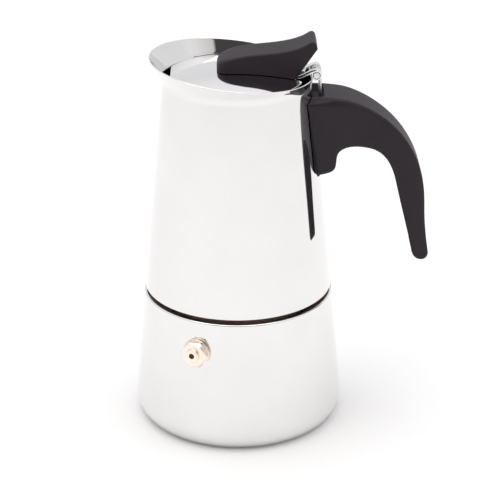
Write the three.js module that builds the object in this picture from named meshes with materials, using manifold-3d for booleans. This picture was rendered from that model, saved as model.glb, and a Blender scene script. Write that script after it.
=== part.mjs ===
// Stove-top moka pot: boiler with safety valve, funnel, gasket and filter, collector with
// hinged lid, and a hook handle. Millimetres, +Z up, origin at the centre of the base's
// underside. The spout points along -X and the handle along +X.
import * as THREE from 'three';
import { mergeVertices, mergeGeometries } from 'three/addons/utils/BufferGeometryUtils.js';
import Module from 'manifold-3d';

const wasm = await Module();
wasm.setup();

// ---- driving dimensions, in millimetres and degrees ----
const gap = 0.3; // between pieces that touch or are welded together
const slack = 0.4; // running clearance of the screw thread

const boiler = {
  widest: 48, // outer radius at the foot's corner
  corner: 6, // how far the rounded foot reaches in under the widest place
  cornerHeight: 9.9,
  base: 38.5, // radius of the disc welded into the underside
  shoulder: 43.3, // outer radius at the top of the wall
  height: 62.2, // shoulder above the table
  shoulderRound: 1.4,
  wall: 0.8,
  segments: 48,
};
const seam = 2.2; // open groove between boiler and collector
const neck = { inset: 6.9, wall: 2.4, rise: 12.4, flange: 1.6, flangeThick: 1.1 };
const thread = { pitch: 3.5, depth: 1.1, crest: 0.9, foot: 1.9, perTurn: 24, fade: 30, turns: 2.25 };
const funnel = {
  flangeInset: 0.5, // inside the root of the boiler's thread
  clearance: 0.8, // between the cup and the boiler's neck
  sheet: 0.7,
  cupDepth: 24,
  coneDepth: 8,
  spoutRadius: 5.2,
  spoutLength: 1.4,
  stemRadius: 4.2,
  stemBottom: 7,
  plateThick: 0.8,
};
const gasket = { inset: 0.2, width: 7.7, thick: 2.6 };
const filter = { inset: 1.8, thick: 0.7, hole: 1.5, rings: 4, ringStep: 6.2 };
const funnelHoles = { hole: 1.5, rings: 3, ringStep: 7.5 };

const collector = {
  step: 0.5, // how far its bottom edge stands in from the boiler's shoulder
  neck: 33.4, // narrowest outer radius, under the flare
  neckHeight: 96.9, // from the bottom edge to the neck
  bend: 3.8, // height over which the wall turns outwards
  flareSlope: 0.58, // radius gained per millimetre of height
  rimRise: 7.7, // rim plane above the neck, on the axis
  rimTilt: 6.4, // degrees, higher at the spout
  wall: 0.6,
  segments: 48,
};
const ring = { height: 10.6, floorThick: 1, floorLift: 3.5 };
const column = { baseRadius: 8.4, topRadius: 5.2, height: 46, wall: 0.9, flange: 13, capHeight: 8 };
const capHole = 1.7; // radius of the two outlets in the column's cap

const lid = {
  clearance: 1.93, // all round, between the disc and the wall if both had one centre
  offset: -1.3, // disc centre, towards the spout
  edgeRise: 2.8, // top of the disc's edge above the neck
  rise: 3.7, // dome height over the edge
  sheet: 0.6,
  blunt: 3, // how far in from the disc's edge it ends straight over the spout
  tabWidth: 13.2,
  slotWidth: 5.2,
  reliefWidth: 2.6,
  reliefDepth: 3.2,
  segments: 48,
};
const hinge = { outside: 1.5, rise: 4.7, pin: 1.55, running: 0.1, sheet: 0.75, width: 12.8, middle: 4.2 };
const notch = { halfWidth: 8.6, below: 3.3 };
const bracket = { strapThick: 1.4, plateThick: 2, width: 11, drop: 5.8, height: 24.4, lug: 7 };

const knob = {
  front: -9, // x of the rounded front end
  behind: 0.2, // how far the thumb tip stands out past the hinge's axis
  halfWidth: 8.9,
  round: 0.8,
  tipRise: 16.2, // thumb tip above the hinge's axis
  saddleRise: 9.6, // front shoulder above the hinge's axis
};
const knobScrews = { front: -1, rear: 18, radius: 1.5, head: 2.9, headThick: 1.5, depth: 5 };

const handle = {
  drop: 4.1, // top of the arm under the collector's neck
  mounting: 37.4, // height of the face that meets the wall
  reach: 53.4, // outermost point, from the wall at the neck
  length: 80.2, // from the top of the arm down to the tip
  thick: 7.6, // at the tip
  halfWidthTop: 11.2,
  halfWidthTip: 7.6,
  embed: 4.4, // how far the arm starts inside the neck's radius, before the wall is cut from it
  flare: 4.6, // extra half width where the root meets the wall
  flareTop: 0.8, // flared part's top under the arm's top
  flareFoot: 2.6, // flared part's foot above the mounting's foot
  flareSlim: 0.4, // how much narrower than the arm it ends
  round: 1.8,
};
const handleScrew = { radius: 1.5, head: 2.6, headThick: 1.8, outside: 3.7, lift: 5.4, length: 14 };

const valve = {
  azimuth: -114.5, // degrees about the axis, from +X
  below: 14.4, // its axis under the boiler's shoulder
  flange: 6.5,
  flangeThick: 1.3,
  hexAcross: 11.4,
  hexHeight: 2.7,
  boss: 3.1,
  bossHeight: 1.5,
  shank: 4.4,
  shankLength: 7.2,
  bore: 2.5,
  mouth: 1.25,
  seat: 1.1,
};
const spring = { wire: 0.4, turns: 4, radius: 1.85, perTurn: 12 };

// ---- derived places ----
const rad = THREE.MathUtils.degToRad;
const seamTop = boiler.height + seam;
const neckTop = boiler.height + neck.rise;
const flatRadius = boiler.widest - boiler.corner;
const rootRadius = boiler.shoulder - neck.inset;
const neckInner = rootRadius - neck.wall;
const femaleRoot = rootRadius + thread.depth + slack;
const cupRadius = neckInner - funnel.clearance;
const funnelFlangeBottom = neckTop + gap;
const funnelFlangeTop = funnelFlangeBottom + funnel.sheet;
const gasketBottom = funnelFlangeTop + gap;
const filterBottom = gasketBottom + gasket.thick + gap;
const floorBottom = filterBottom + filter.thick + gap;
const floorTop = floorBottom + ring.floorThick;
const neckZ = seamTop + collector.neckHeight;
const bendTop = neckZ + collector.bend;
const columnTop = floorTop + gap + column.height;
const collectorFoot = boiler.shoulder - collector.step;
const taper = (collectorFoot - collector.neck) / collector.neckHeight;
const rimHeight = neckZ + collector.rimRise;
const lidEdge = neckZ + lid.edgeRise;
const hingeX = collector.neck + hinge.outside;
const hingeZ = neckZ + hinge.rise;
const knobRear = hingeX + knob.behind;
const handleTop = neckZ - handle.drop;
const handleBottom = handleTop - handle.mounting;
const armStart = collector.neck - handle.embed;
const plateTop = handleTop - bracket.drop;
const plateBottom = plateTop - bracket.height;
const screwSeat = handleBottom + handleScrew.lift;
const valveHeight = boiler.height - valve.below;
const lidRadius = collectorInner(lidEdge) - lid.clearance;
const screwX = collectorOuter(screwSeat) + handleScrew.outside;
const boilerTaper = (boiler.widest - boiler.shoulder) / (boiler.height - boiler.cornerHeight);

// ---- looks ----
const steel = new THREE.MeshStandardMaterial({ color: 0xd8d8da, roughness: 0.12, metalness: 1 });
const brushed = new THREE.MeshStandardMaterial({ color: 0xb9babd, roughness: 0.35, metalness: 1 });
const brass = new THREE.MeshStandardMaterial({ color: 0xe3c49a, roughness: 0.22, metalness: 1 });
const plastic = new THREE.MeshStandardMaterial({ color: 0x1e1b1d, roughness: 0.42, metalness: 0 });
const silicone = new THREE.MeshStandardMaterial({ color: 0xd9d4c8, roughness: 0.6, metalness: 0 });

const pot = new THREE.Group();

// Adds one named piece to the pot.
function addPiece(name, geometry, material) {
  const mesh = new THREE.Mesh(geometry, material);
  mesh.name = name;
  pot.add(mesh);
}

// ---- solids: three.js geometry in and out of the boolean library ----
function toSolid(geometry) {
  const bare = geometry.clone();
  for (const key of Object.keys(bare.attributes)) {
    if (key !== 'position') bare.deleteAttribute(key);
  }
  const merged = mergeVertices(bare, 1e-4);
  const mesh = new wasm.Mesh({
    numProp: 3,
    vertProperties: new Float32Array(merged.attributes.position.array),
    triVerts: new Uint32Array(merged.index.array),
  });
  mesh.merge();
  return new wasm.Manifold(mesh);
}

function toGeometry(solid) {
  const mesh = solid.getMesh();
  const geometry = new THREE.BufferGeometry();
  geometry.setAttribute('position', new THREE.BufferAttribute(mesh.vertProperties, 3));
  geometry.setIndex(new THREE.BufferAttribute(mesh.triVerts, 1));
  geometry.computeVertexNormals();
  return geometry;
}

function cut(base, ...tools) {
  let solid = toSolid(base);
  for (const tool of tools) solid = solid.subtract(toSolid(tool));
  return toGeometry(solid);
}

function join(base, ...others) {
  let solid = toSolid(base);
  for (const other of others) solid = solid.add(toSolid(other));
  return toGeometry(solid);
}

function common(base, other) {
  return toGeometry(toSolid(base).intersect(toSolid(other)));
}

// ---- shape helpers, all with +Z as the axis ----
const at = (x, y) => new THREE.Vector2(x, y);

// Solid of revolution; points run [radius, z], outside upwards first, and close by themselves.
function turned(points, segments = 32) {
  const profile = points.map(([radius, z]) => at(Math.max(radius, 0), z));
  const onAxis = (p) => p.x < 1e-6;
  if (!onAxis(profile[0]) || !onAxis(profile[profile.length - 1])) profile.push(profile[0].clone());
  return new THREE.LatheGeometry(profile, segments).rotateX(Math.PI / 2);
}

// Points of an arc in the r-z plane, angles in degrees from the r axis.
function arc(r, z, radiusR, radiusZ, from, to, steps) {
  return Array.from({ length: steps + 1 }, (_, i) => {
    const angle = rad(from + ((to - from) * i) / steps);
    return [r + radiusR * Math.cos(angle), z + radiusZ * Math.sin(angle)];
  });
}

function tube(outer, inner, bottom, top, segments = 32) {
  return turned([[outer, bottom], [outer, top], [inner, top], [inner, bottom]], segments);
}

function disc(radius, bottom, top, segments = 32) {
  return turned([[0, bottom], [radius, bottom], [radius, top], [0, top]], segments);
}

function box(x0, x1, y0, y1, z0, z1) {
  const geometry = new THREE.BoxGeometry(x1 - x0, y1 - y0, z1 - z0);
  return geometry.translate((x0 + x1) / 2, (y0 + y1) / 2, (z0 + z1) / 2);
}

// Extrudes an outline in the x-z plane between two y values, with optional rounded edges.
function slab(shape, y0, y1, round = 0, curveSegments = 6) {
  const geometry = new THREE.ExtrudeGeometry(shape, {
    depth: y1 - y0 - 2 * round,
    bevelEnabled: round > 0,
    bevelThickness: round,
    bevelSize: round,
    bevelOffset: -round,
    bevelSegments: 2,
    curveSegments,
  });
  return geometry.rotateX(Math.PI / 2).translate(0, y1 - round, 0);
}

// Cylinder along Y.
function rod(x, z, radius, y0, y1, segments = 24) {
  const geometry = new THREE.CylinderGeometry(radius, radius, y1 - y0, segments);
  return geometry.translate(x, (y0 + y1) / 2, z);
}

// Helical ridge: a trapezium swept up a right-handed helix, growing from and fading into
// the cylinder it stands on. side = 1 stands outwards, -1 inwards.
function helix(baseRadius, side, bottom, turns) {
  const steps = Math.round(thread.perTurn * turns);
  const bury = 0.25;
  const positions = [];
  const index = [];
  for (let i = 0; i <= steps; i++) {
    const turn = i / thread.perTurn;
    const angle = turn * 2 * Math.PI;
    const z = bottom + turn * thread.pitch;
    const fromEnd = Math.min(i, steps - i) / thread.perTurn;
    const grown = Math.min(1, 0.06 + (fromEnd * 360) / thread.fade);
    const low = baseRadius - side * bury;
    const high = baseRadius + side * thread.depth * grown;
    const halfCrest = (thread.crest / 2) * grown;
    const halfFoot = (thread.foot / 2) * grown;
    const corners = [[low, -halfFoot], [high, -halfCrest], [high, halfCrest], [low, halfFoot]];
    for (const [radius, dz] of corners) {
      positions.push(radius * Math.cos(angle), radius * Math.sin(angle), z + dz);
    }
  }
  const face = (a, b, c) => index.push(...(side > 0 ? [a, b, c] : [a, c, b]));
  for (let i = 0; i < steps; i++) {
    for (let k = 0; k < 4; k++) {
      const a = i * 4 + k;
      const b = i * 4 + ((k + 1) % 4);
      face(a, a + 4, b);
      face(b, a + 4, b + 4);
    }
  }
  const last = steps * 4;
  face(0, 1, 2);
  face(0, 2, 3);
  face(last, last + 2, last + 1);
  face(last, last + 3, last + 2);
  const geometry = new THREE.BufferGeometry();
  geometry.setAttribute('position', new THREE.Float32BufferAttribute(positions, 3));
  geometry.setIndex(index);
  return geometry;
}

// Six-sided holes in concentric rings, as one set of prisms.
function holeRings({ hole, rings, ringStep }, z0, z1) {
  const holes = [];
  for (let ringNumber = 0; ringNumber <= rings; ringNumber++) {
    const count = Math.max(1, ringNumber * 6);
    for (let i = 0; i < count; i++) {
      const angle = (i / count) * 2 * Math.PI;
      const prism = new THREE.CylinderGeometry(hole, hole, z1 - z0, 6).rotateX(Math.PI / 2);
      prism.translate(
        ringNumber * ringStep * Math.cos(angle),
        ringNumber * ringStep * Math.sin(angle),
        (z0 + z1) / 2,
      );
      holes.push(prism);
    }
  }
  return mergeGeometries(holes);
}

// ---- wall shapes that several pieces share ----
function boilerOuter(z) {
  return boiler.widest - (z - boiler.cornerHeight) * boilerTaper;
}

// Outer radius of the collector: straight taper, a bend at the neck, then the flare.
function collectorOuter(z) {
  if (z <= neckZ) return collectorFoot - (z - seamTop) * taper;
  const turn = (collector.flareSlope + taper) / (2 * collector.bend);
  const h = Math.min(z - neckZ, collector.bend);
  const bent = collector.neck - h * taper + turn * h * h;
  return bent + Math.max(0, z - bendTop) * collector.flareSlope;
}

function collectorInner(z) {
  return collectorOuter(z) - collector.wall;
}

// Heights at which the collector's profile has a point.
function collectorHeights(from, to) {
  const bendSteps = 4;
  const heights = [from];
  const inside = (z) => z > from + 0.01 && z < to - 0.01;
  for (let i = 0; i <= bendSteps; i++) {
    const z = neckZ + (collector.bend * i) / bendSteps;
    if (inside(z)) heights.push(z);
  }
  heights.push(to);
  return heights;
}

// Solid filling the collector out to its outer wall plus a clearance.
function collectorBody(clearance, from, to) {
  const wall = collectorHeights(from, to).map((z) => [collectorOuter(z) + clearance, z]);
  return turned([[0, from], ...wall, [0, to]], collector.segments);
}

// ---- boiler ----
function makeBoilerShell() {
  const { corner, cornerHeight, shoulder, height, shoulderRound, wall } = boiler;
  const mouth = rootRadius + gap;
  const outer = [
    ...arc(flatRadius, cornerHeight, corner, cornerHeight, -90, 0, 4),
    ...arc(shoulder - shoulderRound, height - shoulderRound, shoulderRound, shoulderRound, 5, 90, 3),
    [mouth, height],
  ];
  const inner = [
    [mouth, height - wall],
    [shoulder - shoulderRound, height - wall],
    [boilerOuter(height - shoulderRound) - wall, height - shoulderRound],
    ...arc(flatRadius, cornerHeight, corner - wall, cornerHeight - wall, 0, -90, 4),
    [boiler.base + gap, wall],
  ];
  const shell = turned([[boiler.base + gap, 0], ...outer, ...inner], boiler.segments);
  return cut(shell, onValve(disc(valve.shank + gap, -6, 6, 24)));
}

function makeBoilerBase() {
  return disc(boiler.base, 0, boiler.wall, boiler.segments);
}

function makeBoilerNeck() {
  const flangeTop = boiler.height - boiler.wall - gap;
  const flangeBottom = flangeTop - neck.flangeThick;
  const flangeRadius = rootRadius + neck.flange;
  const collar = turned([
    [flangeRadius, flangeBottom],
    [flangeRadius, flangeTop],
    [rootRadius, flangeTop],
    [rootRadius, neckTop - 0.5],
    [rootRadius - 0.5, neckTop],
    [neckInner, neckTop],
    [neckInner, flangeBottom],
  ], boiler.segments);
  return join(collar, helix(rootRadius, 1, threadBottom(), thread.turns));
}

// Height of the lowest point of the male thread's centre line.
function threadBottom() {
  const room = neck.rise - seam - thread.turns * thread.pitch;
  return seamTop + room / 2;
}

// ---- safety valve, made along +Z and then laid on the boiler's wall ----
function onValve(geometry) {
  const lean = Math.atan(boilerTaper);
  const wallRadius = boilerOuter(valveHeight);
  geometry.rotateY(Math.PI / 2 - lean);
  geometry.translate(wallRadius, 0, valveHeight);
  return geometry.rotateZ(rad(valve.azimuth));
}

function makeValveBody() {
  const { flange, flangeThick, hexAcross, hexHeight, boss, bossHeight } = valve;
  const { shank, shankLength, bore, mouth, seat } = valve;
  const face = gap + flangeThick;
  const top = face + hexHeight;
  const chamfer = hexAcross / 2 - 0.3;
  const corner = hexAcross / 2 / Math.cos(Math.PI / 6);
  const turnedBlank = turned([
    [0, -shankLength],
    [shank, -shankLength],
    [shank, 0.1],
    [flange - 0.4, gap],
    [flange, gap + 0.4],
    [flange, face - 0.4],
    [flange - 0.4, face],
    [0, face],
  ], 32);
  const hexBlank = new THREE.CylinderGeometry(corner, corner, hexHeight + 0.2, 6);
  hexBlank.rotateX(Math.PI / 2).translate(0, 0, face + hexHeight / 2 - 0.1);
  const chamferCone = turned([[0, face - 1], [corner + 1, face - 1], [corner + 1, top - 1.2],
    [chamfer, top], [0, top]], 32);
  const nose = turned([[0, face], [boss, face], [boss, top + bossHeight - 0.6],
    [boss - 0.6, top + bossHeight], [0, top + bossHeight]], 24);
  const through = turned([[0, -shankLength - 1], [seat, -shankLength - 1], [seat, -shankLength + 1],
    [bore, -shankLength + 1], [bore, top - 0.2], [0, top - 0.2]], 20);
  const opening = disc(mouth + 0.6, top - 1, top + bossHeight + 1, 20);
  const hex = common(hexBlank, chamferCone);
  return onValve(cut(join(turnedBlank, hex, nose), through, opening));
}

function makeValveRetainer() {
  const top = gap + valve.flangeThick + valve.hexHeight;
  const radius = valve.mouth + 0.6 - 0.05;
  return onValve(tube(radius, valve.mouth - 0.45, top + 0.2, top + valve.bossHeight - 0.3, 20));
}

function makeValveWasher() {
  const start = -boiler.wall - 2 * gap;
  return onValve(tube(valve.flange, valve.shank + 0.2, start - 1.2, start - 0.6, 28));
}

function makeValveNut() {
  const start = -boiler.wall - 3 * gap - 1.2;
  const corner = valve.hexAcross / 2 / Math.cos(Math.PI / 6);
  const blank = new THREE.CylinderGeometry(corner, corner, 2.4, 6).rotateX(Math.PI / 2);
  blank.translate(0, 0, start - 1.2);
  return onValve(cut(blank, disc(valve.shank + 0.15, start - 4, start + 1, 24)));
}

// Disc that shuts the seat, with a stem that shows in the valve's mouth.
function makeValvePoppet() {
  const seatZ = -valve.shankLength + 1;
  const stem = valve.mouth - 0.55;
  const top = gap + valve.flangeThick + valve.hexHeight + valve.bossHeight - 0.6;
  return onValve(turned([[0, seatZ + 0.1], [valve.bore - 0.2, seatZ + 0.1],
    [valve.bore - 0.2, seatZ + 1.1], [stem, seatZ + 1.4], [stem, top], [0, top]], 18));
}

function makeValveSpring() {
  const bottom = -valve.shankLength + 2.9;
  const top = gap + valve.flangeThick + valve.hexHeight - 0.5;
  const points = [];
  const steps = spring.turns * spring.perTurn;
  for (let i = 0; i <= steps; i++) {
    const angle = (i / spring.perTurn) * 2 * Math.PI;
    const z = bottom + ((top - bottom) * i) / steps;
    points.push(new THREE.Vector3((spring.radius - 0.1) * Math.cos(angle),
      (spring.radius - 0.1) * Math.sin(angle), z));
  }
  const wire = new THREE.Shape();
  wire.absarc(0, 0, spring.wire / 2, 0, 2 * Math.PI);
  const path = new THREE.CatmullRomCurve3(points);
  return onValve(new THREE.ExtrudeGeometry(wire, { steps, extrudePath: path, curveSegments: 3 }));
}

// ---- funnel, gasket and filter ----
function makeFunnelCup() {
  const { sheet, cupDepth, coneDepth, spoutRadius, spoutLength } = funnel;
  const flangeRadius = rootRadius - funnel.flangeInset;
  const cone = funnelFlangeTop - cupDepth;
  const spoutTop = cone - coneDepth;
  const inner = cupRadius - sheet;
  return turned([
    [flangeRadius, funnelFlangeBottom],
    [flangeRadius, funnelFlangeTop],
    [inner, funnelFlangeTop],
    [inner, cone],
    [spoutRadius - sheet, spoutTop],
    [spoutRadius - sheet, spoutTop - spoutLength],
    [spoutRadius, spoutTop - spoutLength],
    [spoutRadius, spoutTop - sheet],
    [cupRadius, cone - sheet],
    [cupRadius, funnelFlangeBottom],
  ], 48);
}

function makeFunnelStem() {
  const top = funnelFlangeTop - funnel.cupDepth - funnel.coneDepth - 0.4;
  return tube(funnel.stemRadius, funnel.stemRadius - funnel.sheet, funnel.stemBottom, top, 28);
}

function makeFunnelPlate() {
  const bottom = funnelFlangeTop - funnel.cupDepth + gap;
  const radius = cupRadius - funnel.sheet - gap;
  const plate = disc(radius, bottom, bottom + funnel.plateThick, 48);
  return cut(plate, holeRings(funnelHoles, bottom - 1, bottom + funnel.plateThick + 1));
}

function makeGasket() {
  const { inset, width, thick } = gasket;
  const outer = rootRadius - inset;
  const inner = outer - width;
  const soft = 0.5;
  return turned([
    [outer - soft, gasketBottom],
    [outer, gasketBottom + soft],
    [outer, gasketBottom + thick - soft],
    [outer - soft, gasketBottom + thick],
    [inner + soft, gasketBottom + thick],
    [inner, gasketBottom + thick - soft],
    [inner, gasketBottom + soft],
    [inner + soft, gasketBottom],
  ], 48);
}

function makeFilterScreen() {
  const top = filterBottom + filter.thick;
  const plate = disc(rootRadius - filter.inset, filterBottom, top, 48);
  return cut(plate, holeRings(filter, filterBottom - 1, top + 1));
}

// ---- collector ----
const rimTop = () => rimHeight + collectorOuter(rimHeight + 6) * 0.13;

function makeCollectorShell() {
  const top = rimTop() + 2;
  const heights = collectorHeights(seamTop, top);
  const outer = heights.map((z) => [collectorOuter(z), z]);
  const inner = heights.map((z) => [collectorInner(z), z]).reverse();
  const wall = turned([...outer, ...inner], collector.segments);
  const above = box(-70, 70, -70, 70, 0, 40);
  above.rotateY(rad(collector.rimTilt)).translate(0, 0, rimHeight);
  const reach = hingeX - hinge.sheet - 6;
  const hingeNotch = box(reach, hingeX + 9, -notch.halfWidth, notch.halfWidth,
    hingeZ - notch.below, top + 9);
  return cut(wall, above, hingeNotch);
}

function makeThreadRing() {
  const bottom = seamTop + 0.5;
  const top = bottom + ring.height;
  const skin = (z) => collectorInner(z) - gap;
  const collar = turned([
    [skin(bottom), bottom],
    [skin(top), top],
    [femaleRoot, top],
    [femaleRoot, bottom],
  ], collector.segments);
  const start = threadBottom() + thread.pitch / 2;
  return join(collar, helix(femaleRoot, -1, start, thread.turns - 0.5));
}

function makeCollectorFloor() {
  const skin = (z) => collectorInner(z) - gap;
  const hole = column.baseRadius - column.wall;
  return turned([[skin(floorBottom), floorBottom], [skin(floorTop), floorTop],
    [hole, floorTop], [hole, floorBottom]], 48);
}

function makeColumn() {
  const bottom = floorTop + gap;
  const { baseRadius, topRadius, wall, flange, height } = column;
  const foot = 1;
  return turned([
    [flange, bottom],
    [flange, bottom + foot],
    [baseRadius + 1.2, bottom + foot],
    [baseRadius, bottom + foot + 2],
    [topRadius, bottom + height],
    [topRadius - wall, bottom + height],
    [baseRadius - wall, bottom + foot + 2],
    [baseRadius - wall, bottom],
  ], 36);
}

function makeColumnCap() {
  const skirt = columnTop - 5;
  const lean = (column.baseRadius - column.topRadius) / column.height;
  const inner = column.topRadius + 5 * lean + gap;
  const outer = inner + column.wall;
  const top = columnTop + column.capHeight;
  const cap = turned([
    [inner, skirt],
    [outer, skirt],
    [outer, top - 3],
    ...arc(0, top - 3, outer, 3, 30, 90, 3),
    [0, top - column.wall],
    [inner - 0.6, top - 3],
    [inner, top - 3.6],
  ], 32);
  const cross = new THREE.CylinderGeometry(capHole, capHole, 30, 16);
  return cut(cap, cross.translate(0, 0, columnTop + 3));
}

// ---- lid ----
// Height of the lid's top surface at a distance from the disc's centre.
function lidTop(distance) {
  const share = Math.min(distance / lidRadius, 1);
  return lidEdge + lid.rise * (1 - share * share);
}

// Domed disc centred on its own axis; lower faces sit one sheet beneath the upper ones.
function lidDome(bottomDrop, topLift, radius, steps = 5) {
  const spots = Array.from({ length: steps + 1 }, (_, i) => (radius * i) / steps);
  const upper = spots.map((r) => [r, lidTop(r) + topLift]).reverse();
  const lower = spots.map((r) => [r, lidTop(r) - bottomDrop]);
  return turned([...lower, ...upper], lid.segments).translate(lid.offset, 0, 0);
}

// Sheet outline in the x-z plane: from the disc's edge up over the pin and round it.
function tabShape() {
  const outer = hinge.pin + hinge.running + hinge.sheet;
  const inner = hinge.pin + hinge.running;
  const start = hingeX - 8;
  const edge = lidTop(start - lid.offset) - 0.05;
  const shape = new THREE.Shape();
  shape.moveTo(start, edge - lid.sheet + 0.1);
  shape.lineTo(start, edge);
  shape.lineTo(start + 1, edge);
  shape.absarc(hingeX, hingeZ, outer, rad(112), rad(-215), true);
  shape.lineTo(hingeX + inner * Math.cos(rad(-215)), hingeZ + inner * Math.sin(rad(-215)));
  shape.absarc(hingeX, hingeZ, inner, rad(-215), rad(112), false);
  shape.lineTo(start + 1.4, edge - lid.sheet + 0.1);
  return shape;
}

function makeLidPlate() {
  const halfTab = lid.tabWidth / 2;
  const disc0 = lidDome(lid.sheet, 0, lidRadius);
  const reliefIn = lid.offset + lidRadius - lid.reliefDepth;
  const reliefs = [-1, 1].map((side) => {
    const near = side * halfTab;
    const far = side * (halfTab + lid.reliefWidth);
    return box(reliefIn, reliefIn + 9, Math.min(near, far), Math.max(near, far), lidEdge - 14, lidEdge + 16);
  });
  const beyond = box(hingeX - 6.9, hingeX + 5, -halfTab, halfTab, lidEdge - 14, lidEdge + 16);
  const tip = lid.offset - lidRadius;
  const overSpout = box(tip - 1, tip + lid.blunt, -lidRadius, lidRadius, lidEdge - 14, lidEdge + 16);
  const plate = cut(disc0, ...reliefs, beyond, overSpout);
  const tab = slab(tabShape(), -hinge.width / 2, hinge.width / 2, 0, 12);
  const slotHalf = lid.slotWidth / 2;
  const slot = box(hingeX - 4.4, hingeX + 5, -slotHalf, slotHalf, lidEdge - 14, lidEdge + 16);
  return cut(join(plate, tab), slot, ...knobScrewHoles());
}

function knobScrewHoles() {
  return [knobScrews.front, knobScrews.rear].map((x) =>
    disc(knobScrews.radius + gap, lidEdge - 14, lidEdge + 36, 20).translate(x, 0, 0));
}

// Side view of the knob: rounded nose, sagging top, raised thumb tip and undercut rear.
function knobShape() {
  const { front } = knob;
  const rear = knobRear;
  const tipHeight = hingeZ + knob.tipRise;
  const saddle = hingeZ + knob.saddleRise;
  const low = lidEdge - lid.sheet - 3;
  const shape = new THREE.Shape();
  shape.moveTo(front, low);
  shape.lineTo(front, saddle - 5.4);
  shape.bezierCurveTo(front + 0.4, saddle - 2.2, front + 6, saddle - 1, front + 13, saddle + 0.3);
  shape.bezierCurveTo(front + 24, saddle + 1.4, rear - 10, saddle + 1.6, rear - 3.6, tipHeight - 0.7);
  shape.bezierCurveTo(rear - 2, tipHeight + 0.4, rear - 0.7, tipHeight - 0.3, rear - 0.4, tipHeight - 2);
  shape.lineTo(rear, tipHeight - 3.6);
  shape.lineTo(rear - 8.6, hingeZ + 0.2);
  shape.lineTo(rear - 11.5, low);
  return shape;
}

function makeKnob() {
  const blank = slab(knobShape(), -knob.halfWidth, knob.halfWidth, knob.round, 6);
  const nose = knobPlan();
  const shaped = common(blank, nose);
  const seat = lidDome(60, gap, lidRadius + 6);
  const tabRoom = box(hingeX - 8.6, hingeX + 5, -20, 20, lidEdge - 14, lidTop(24) + 1.1);
  const pilots = [knobScrews.front, knobScrews.rear].map((x) => {
    const top = lidTop(Math.abs(x - lid.offset)) + knobScrews.depth + 0.4;
    return disc(knobScrews.radius + 0.1, lidEdge - 14, top, 16).translate(x, 0, 0);
  });
  return cut(shaped, seat, tabRoom, ...pilots);
}

// Plan of the knob: a bar with a rounded front end.
function knobPlan() {
  const shape = new THREE.Shape();
  const { front, halfWidth } = knob;
  const rear = knobRear;
  const corner = 5;
  shape.moveTo(rear + 2, -halfWidth);
  shape.lineTo(rear + 2, halfWidth);
  shape.lineTo(front + corner, halfWidth);
  shape.absarc(front + corner, halfWidth - corner, corner, rad(90), rad(180), false);
  shape.absarc(front + corner, corner - halfWidth, corner, rad(180), rad(270), false);
  const geometry = new THREE.ExtrudeGeometry(shape, { depth: 60, bevelEnabled: false, curveSegments: 6 });
  return geometry.translate(0, 0, lidEdge - 24);
}

// Cross-shaped recess in the underside of a screw's head.
function crossSlot(reach, halfWidth, face) {
  return [0, 1].map((k) => box(-reach, reach, -halfWidth, halfWidth, -1, 0.7)
    .rotateZ((k * Math.PI) / 2).translate(0, 0, face));
}

function makeKnobScrew(x) {
  const seat = lidTop(Math.abs(x - lid.offset)) - lid.sheet - 1.1;
  const tip = lidTop(Math.abs(x - lid.offset)) + knobScrews.depth;
  const { head, headThick, radius } = knobScrews;
  const screw = turned([
    [0, seat - headThick],
    [head - 0.8, seat - headThick],
    [head, seat - headThick + 0.7],
    [head, seat],
    [radius, seat],
    [radius, tip - 0.5],
    [radius - 0.5, tip],
    [0, tip],
  ], 20);
  return cut(screw, ...crossSlot(1.7, 0.35, seat - headThick)).translate(x, 0, 0);
}

// ---- hinge ----
function makeHingePin() {
  const half = hinge.width / 2 + 0.2;
  return rod(hingeX, hingeZ, hinge.pin, -half, half, 28);
}

// Side view of the plate that is welded to the collector's wall, inside the handle.
function plateSide(clearance) {
  const low = plateBottom - clearance;
  const high = plateTop + clearance;
  const face = (z) => collectorOuter(z) + gap + bracket.plateThick + clearance;
  const shape = new THREE.Shape();
  shape.moveTo(collectorOuter(low) - 3, low);
  shape.lineTo(face(low), low);
  shape.lineTo(face(high), high);
  shape.lineTo(collectorOuter(high) - 3, high);
  return shape;
}

const strapBack = hingeX + hinge.pin + hinge.running + hinge.sheet;
const strapFoot = plateTop - 4;

// Block on the plate that the handle's screw threads into from below.
function screwLug(clearance) {
  const half = bracket.width / 2 - 2 + clearance;
  const bottom = lugBottom() - clearance;
  const outer = screwX + 3 + clearance;
  return box(collectorOuter(bottom), outer, -half, half, bottom, bottom + bracket.lug + 2 * clearance);
}

const lugBottom = () => screwSeat + 6;

// Strap with the middle knuckle on top; it runs down behind the neck into the handle, where
// it joins a plate on the wall that carries a threaded lug for the handle's screw.
function makeBracket() {
  const outer = hinge.pin + hinge.running + hinge.sheet;
  const inner = hinge.pin + hinge.running;
  const halfMiddle = hinge.middle / 2;
  const halfPlate = bracket.width / 2;
  const strap = box(strapBack - bracket.strapThick, strapBack, -halfMiddle, halfMiddle,
    strapFoot, hingeZ);
  const knuckle = rod(hingeX, hingeZ, outer, -halfMiddle, halfMiddle, 28);
  const plate = slab(plateSide(0), -halfPlate, halfPlate);
  const bore = rod(hingeX, hingeZ, inner, -9, 9, 28);
  const screwBore = disc(handleScrew.radius + 0.15, screwSeat - 20, plateTop + 9, 20);
  screwBore.translate(screwX, 0, 0);
  const room = collectorBody(gap, seamTop, bendTop + 4);
  return cut(join(strap, knuckle, plate, screwLug(0)), bore, screwBore, room);
}

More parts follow.
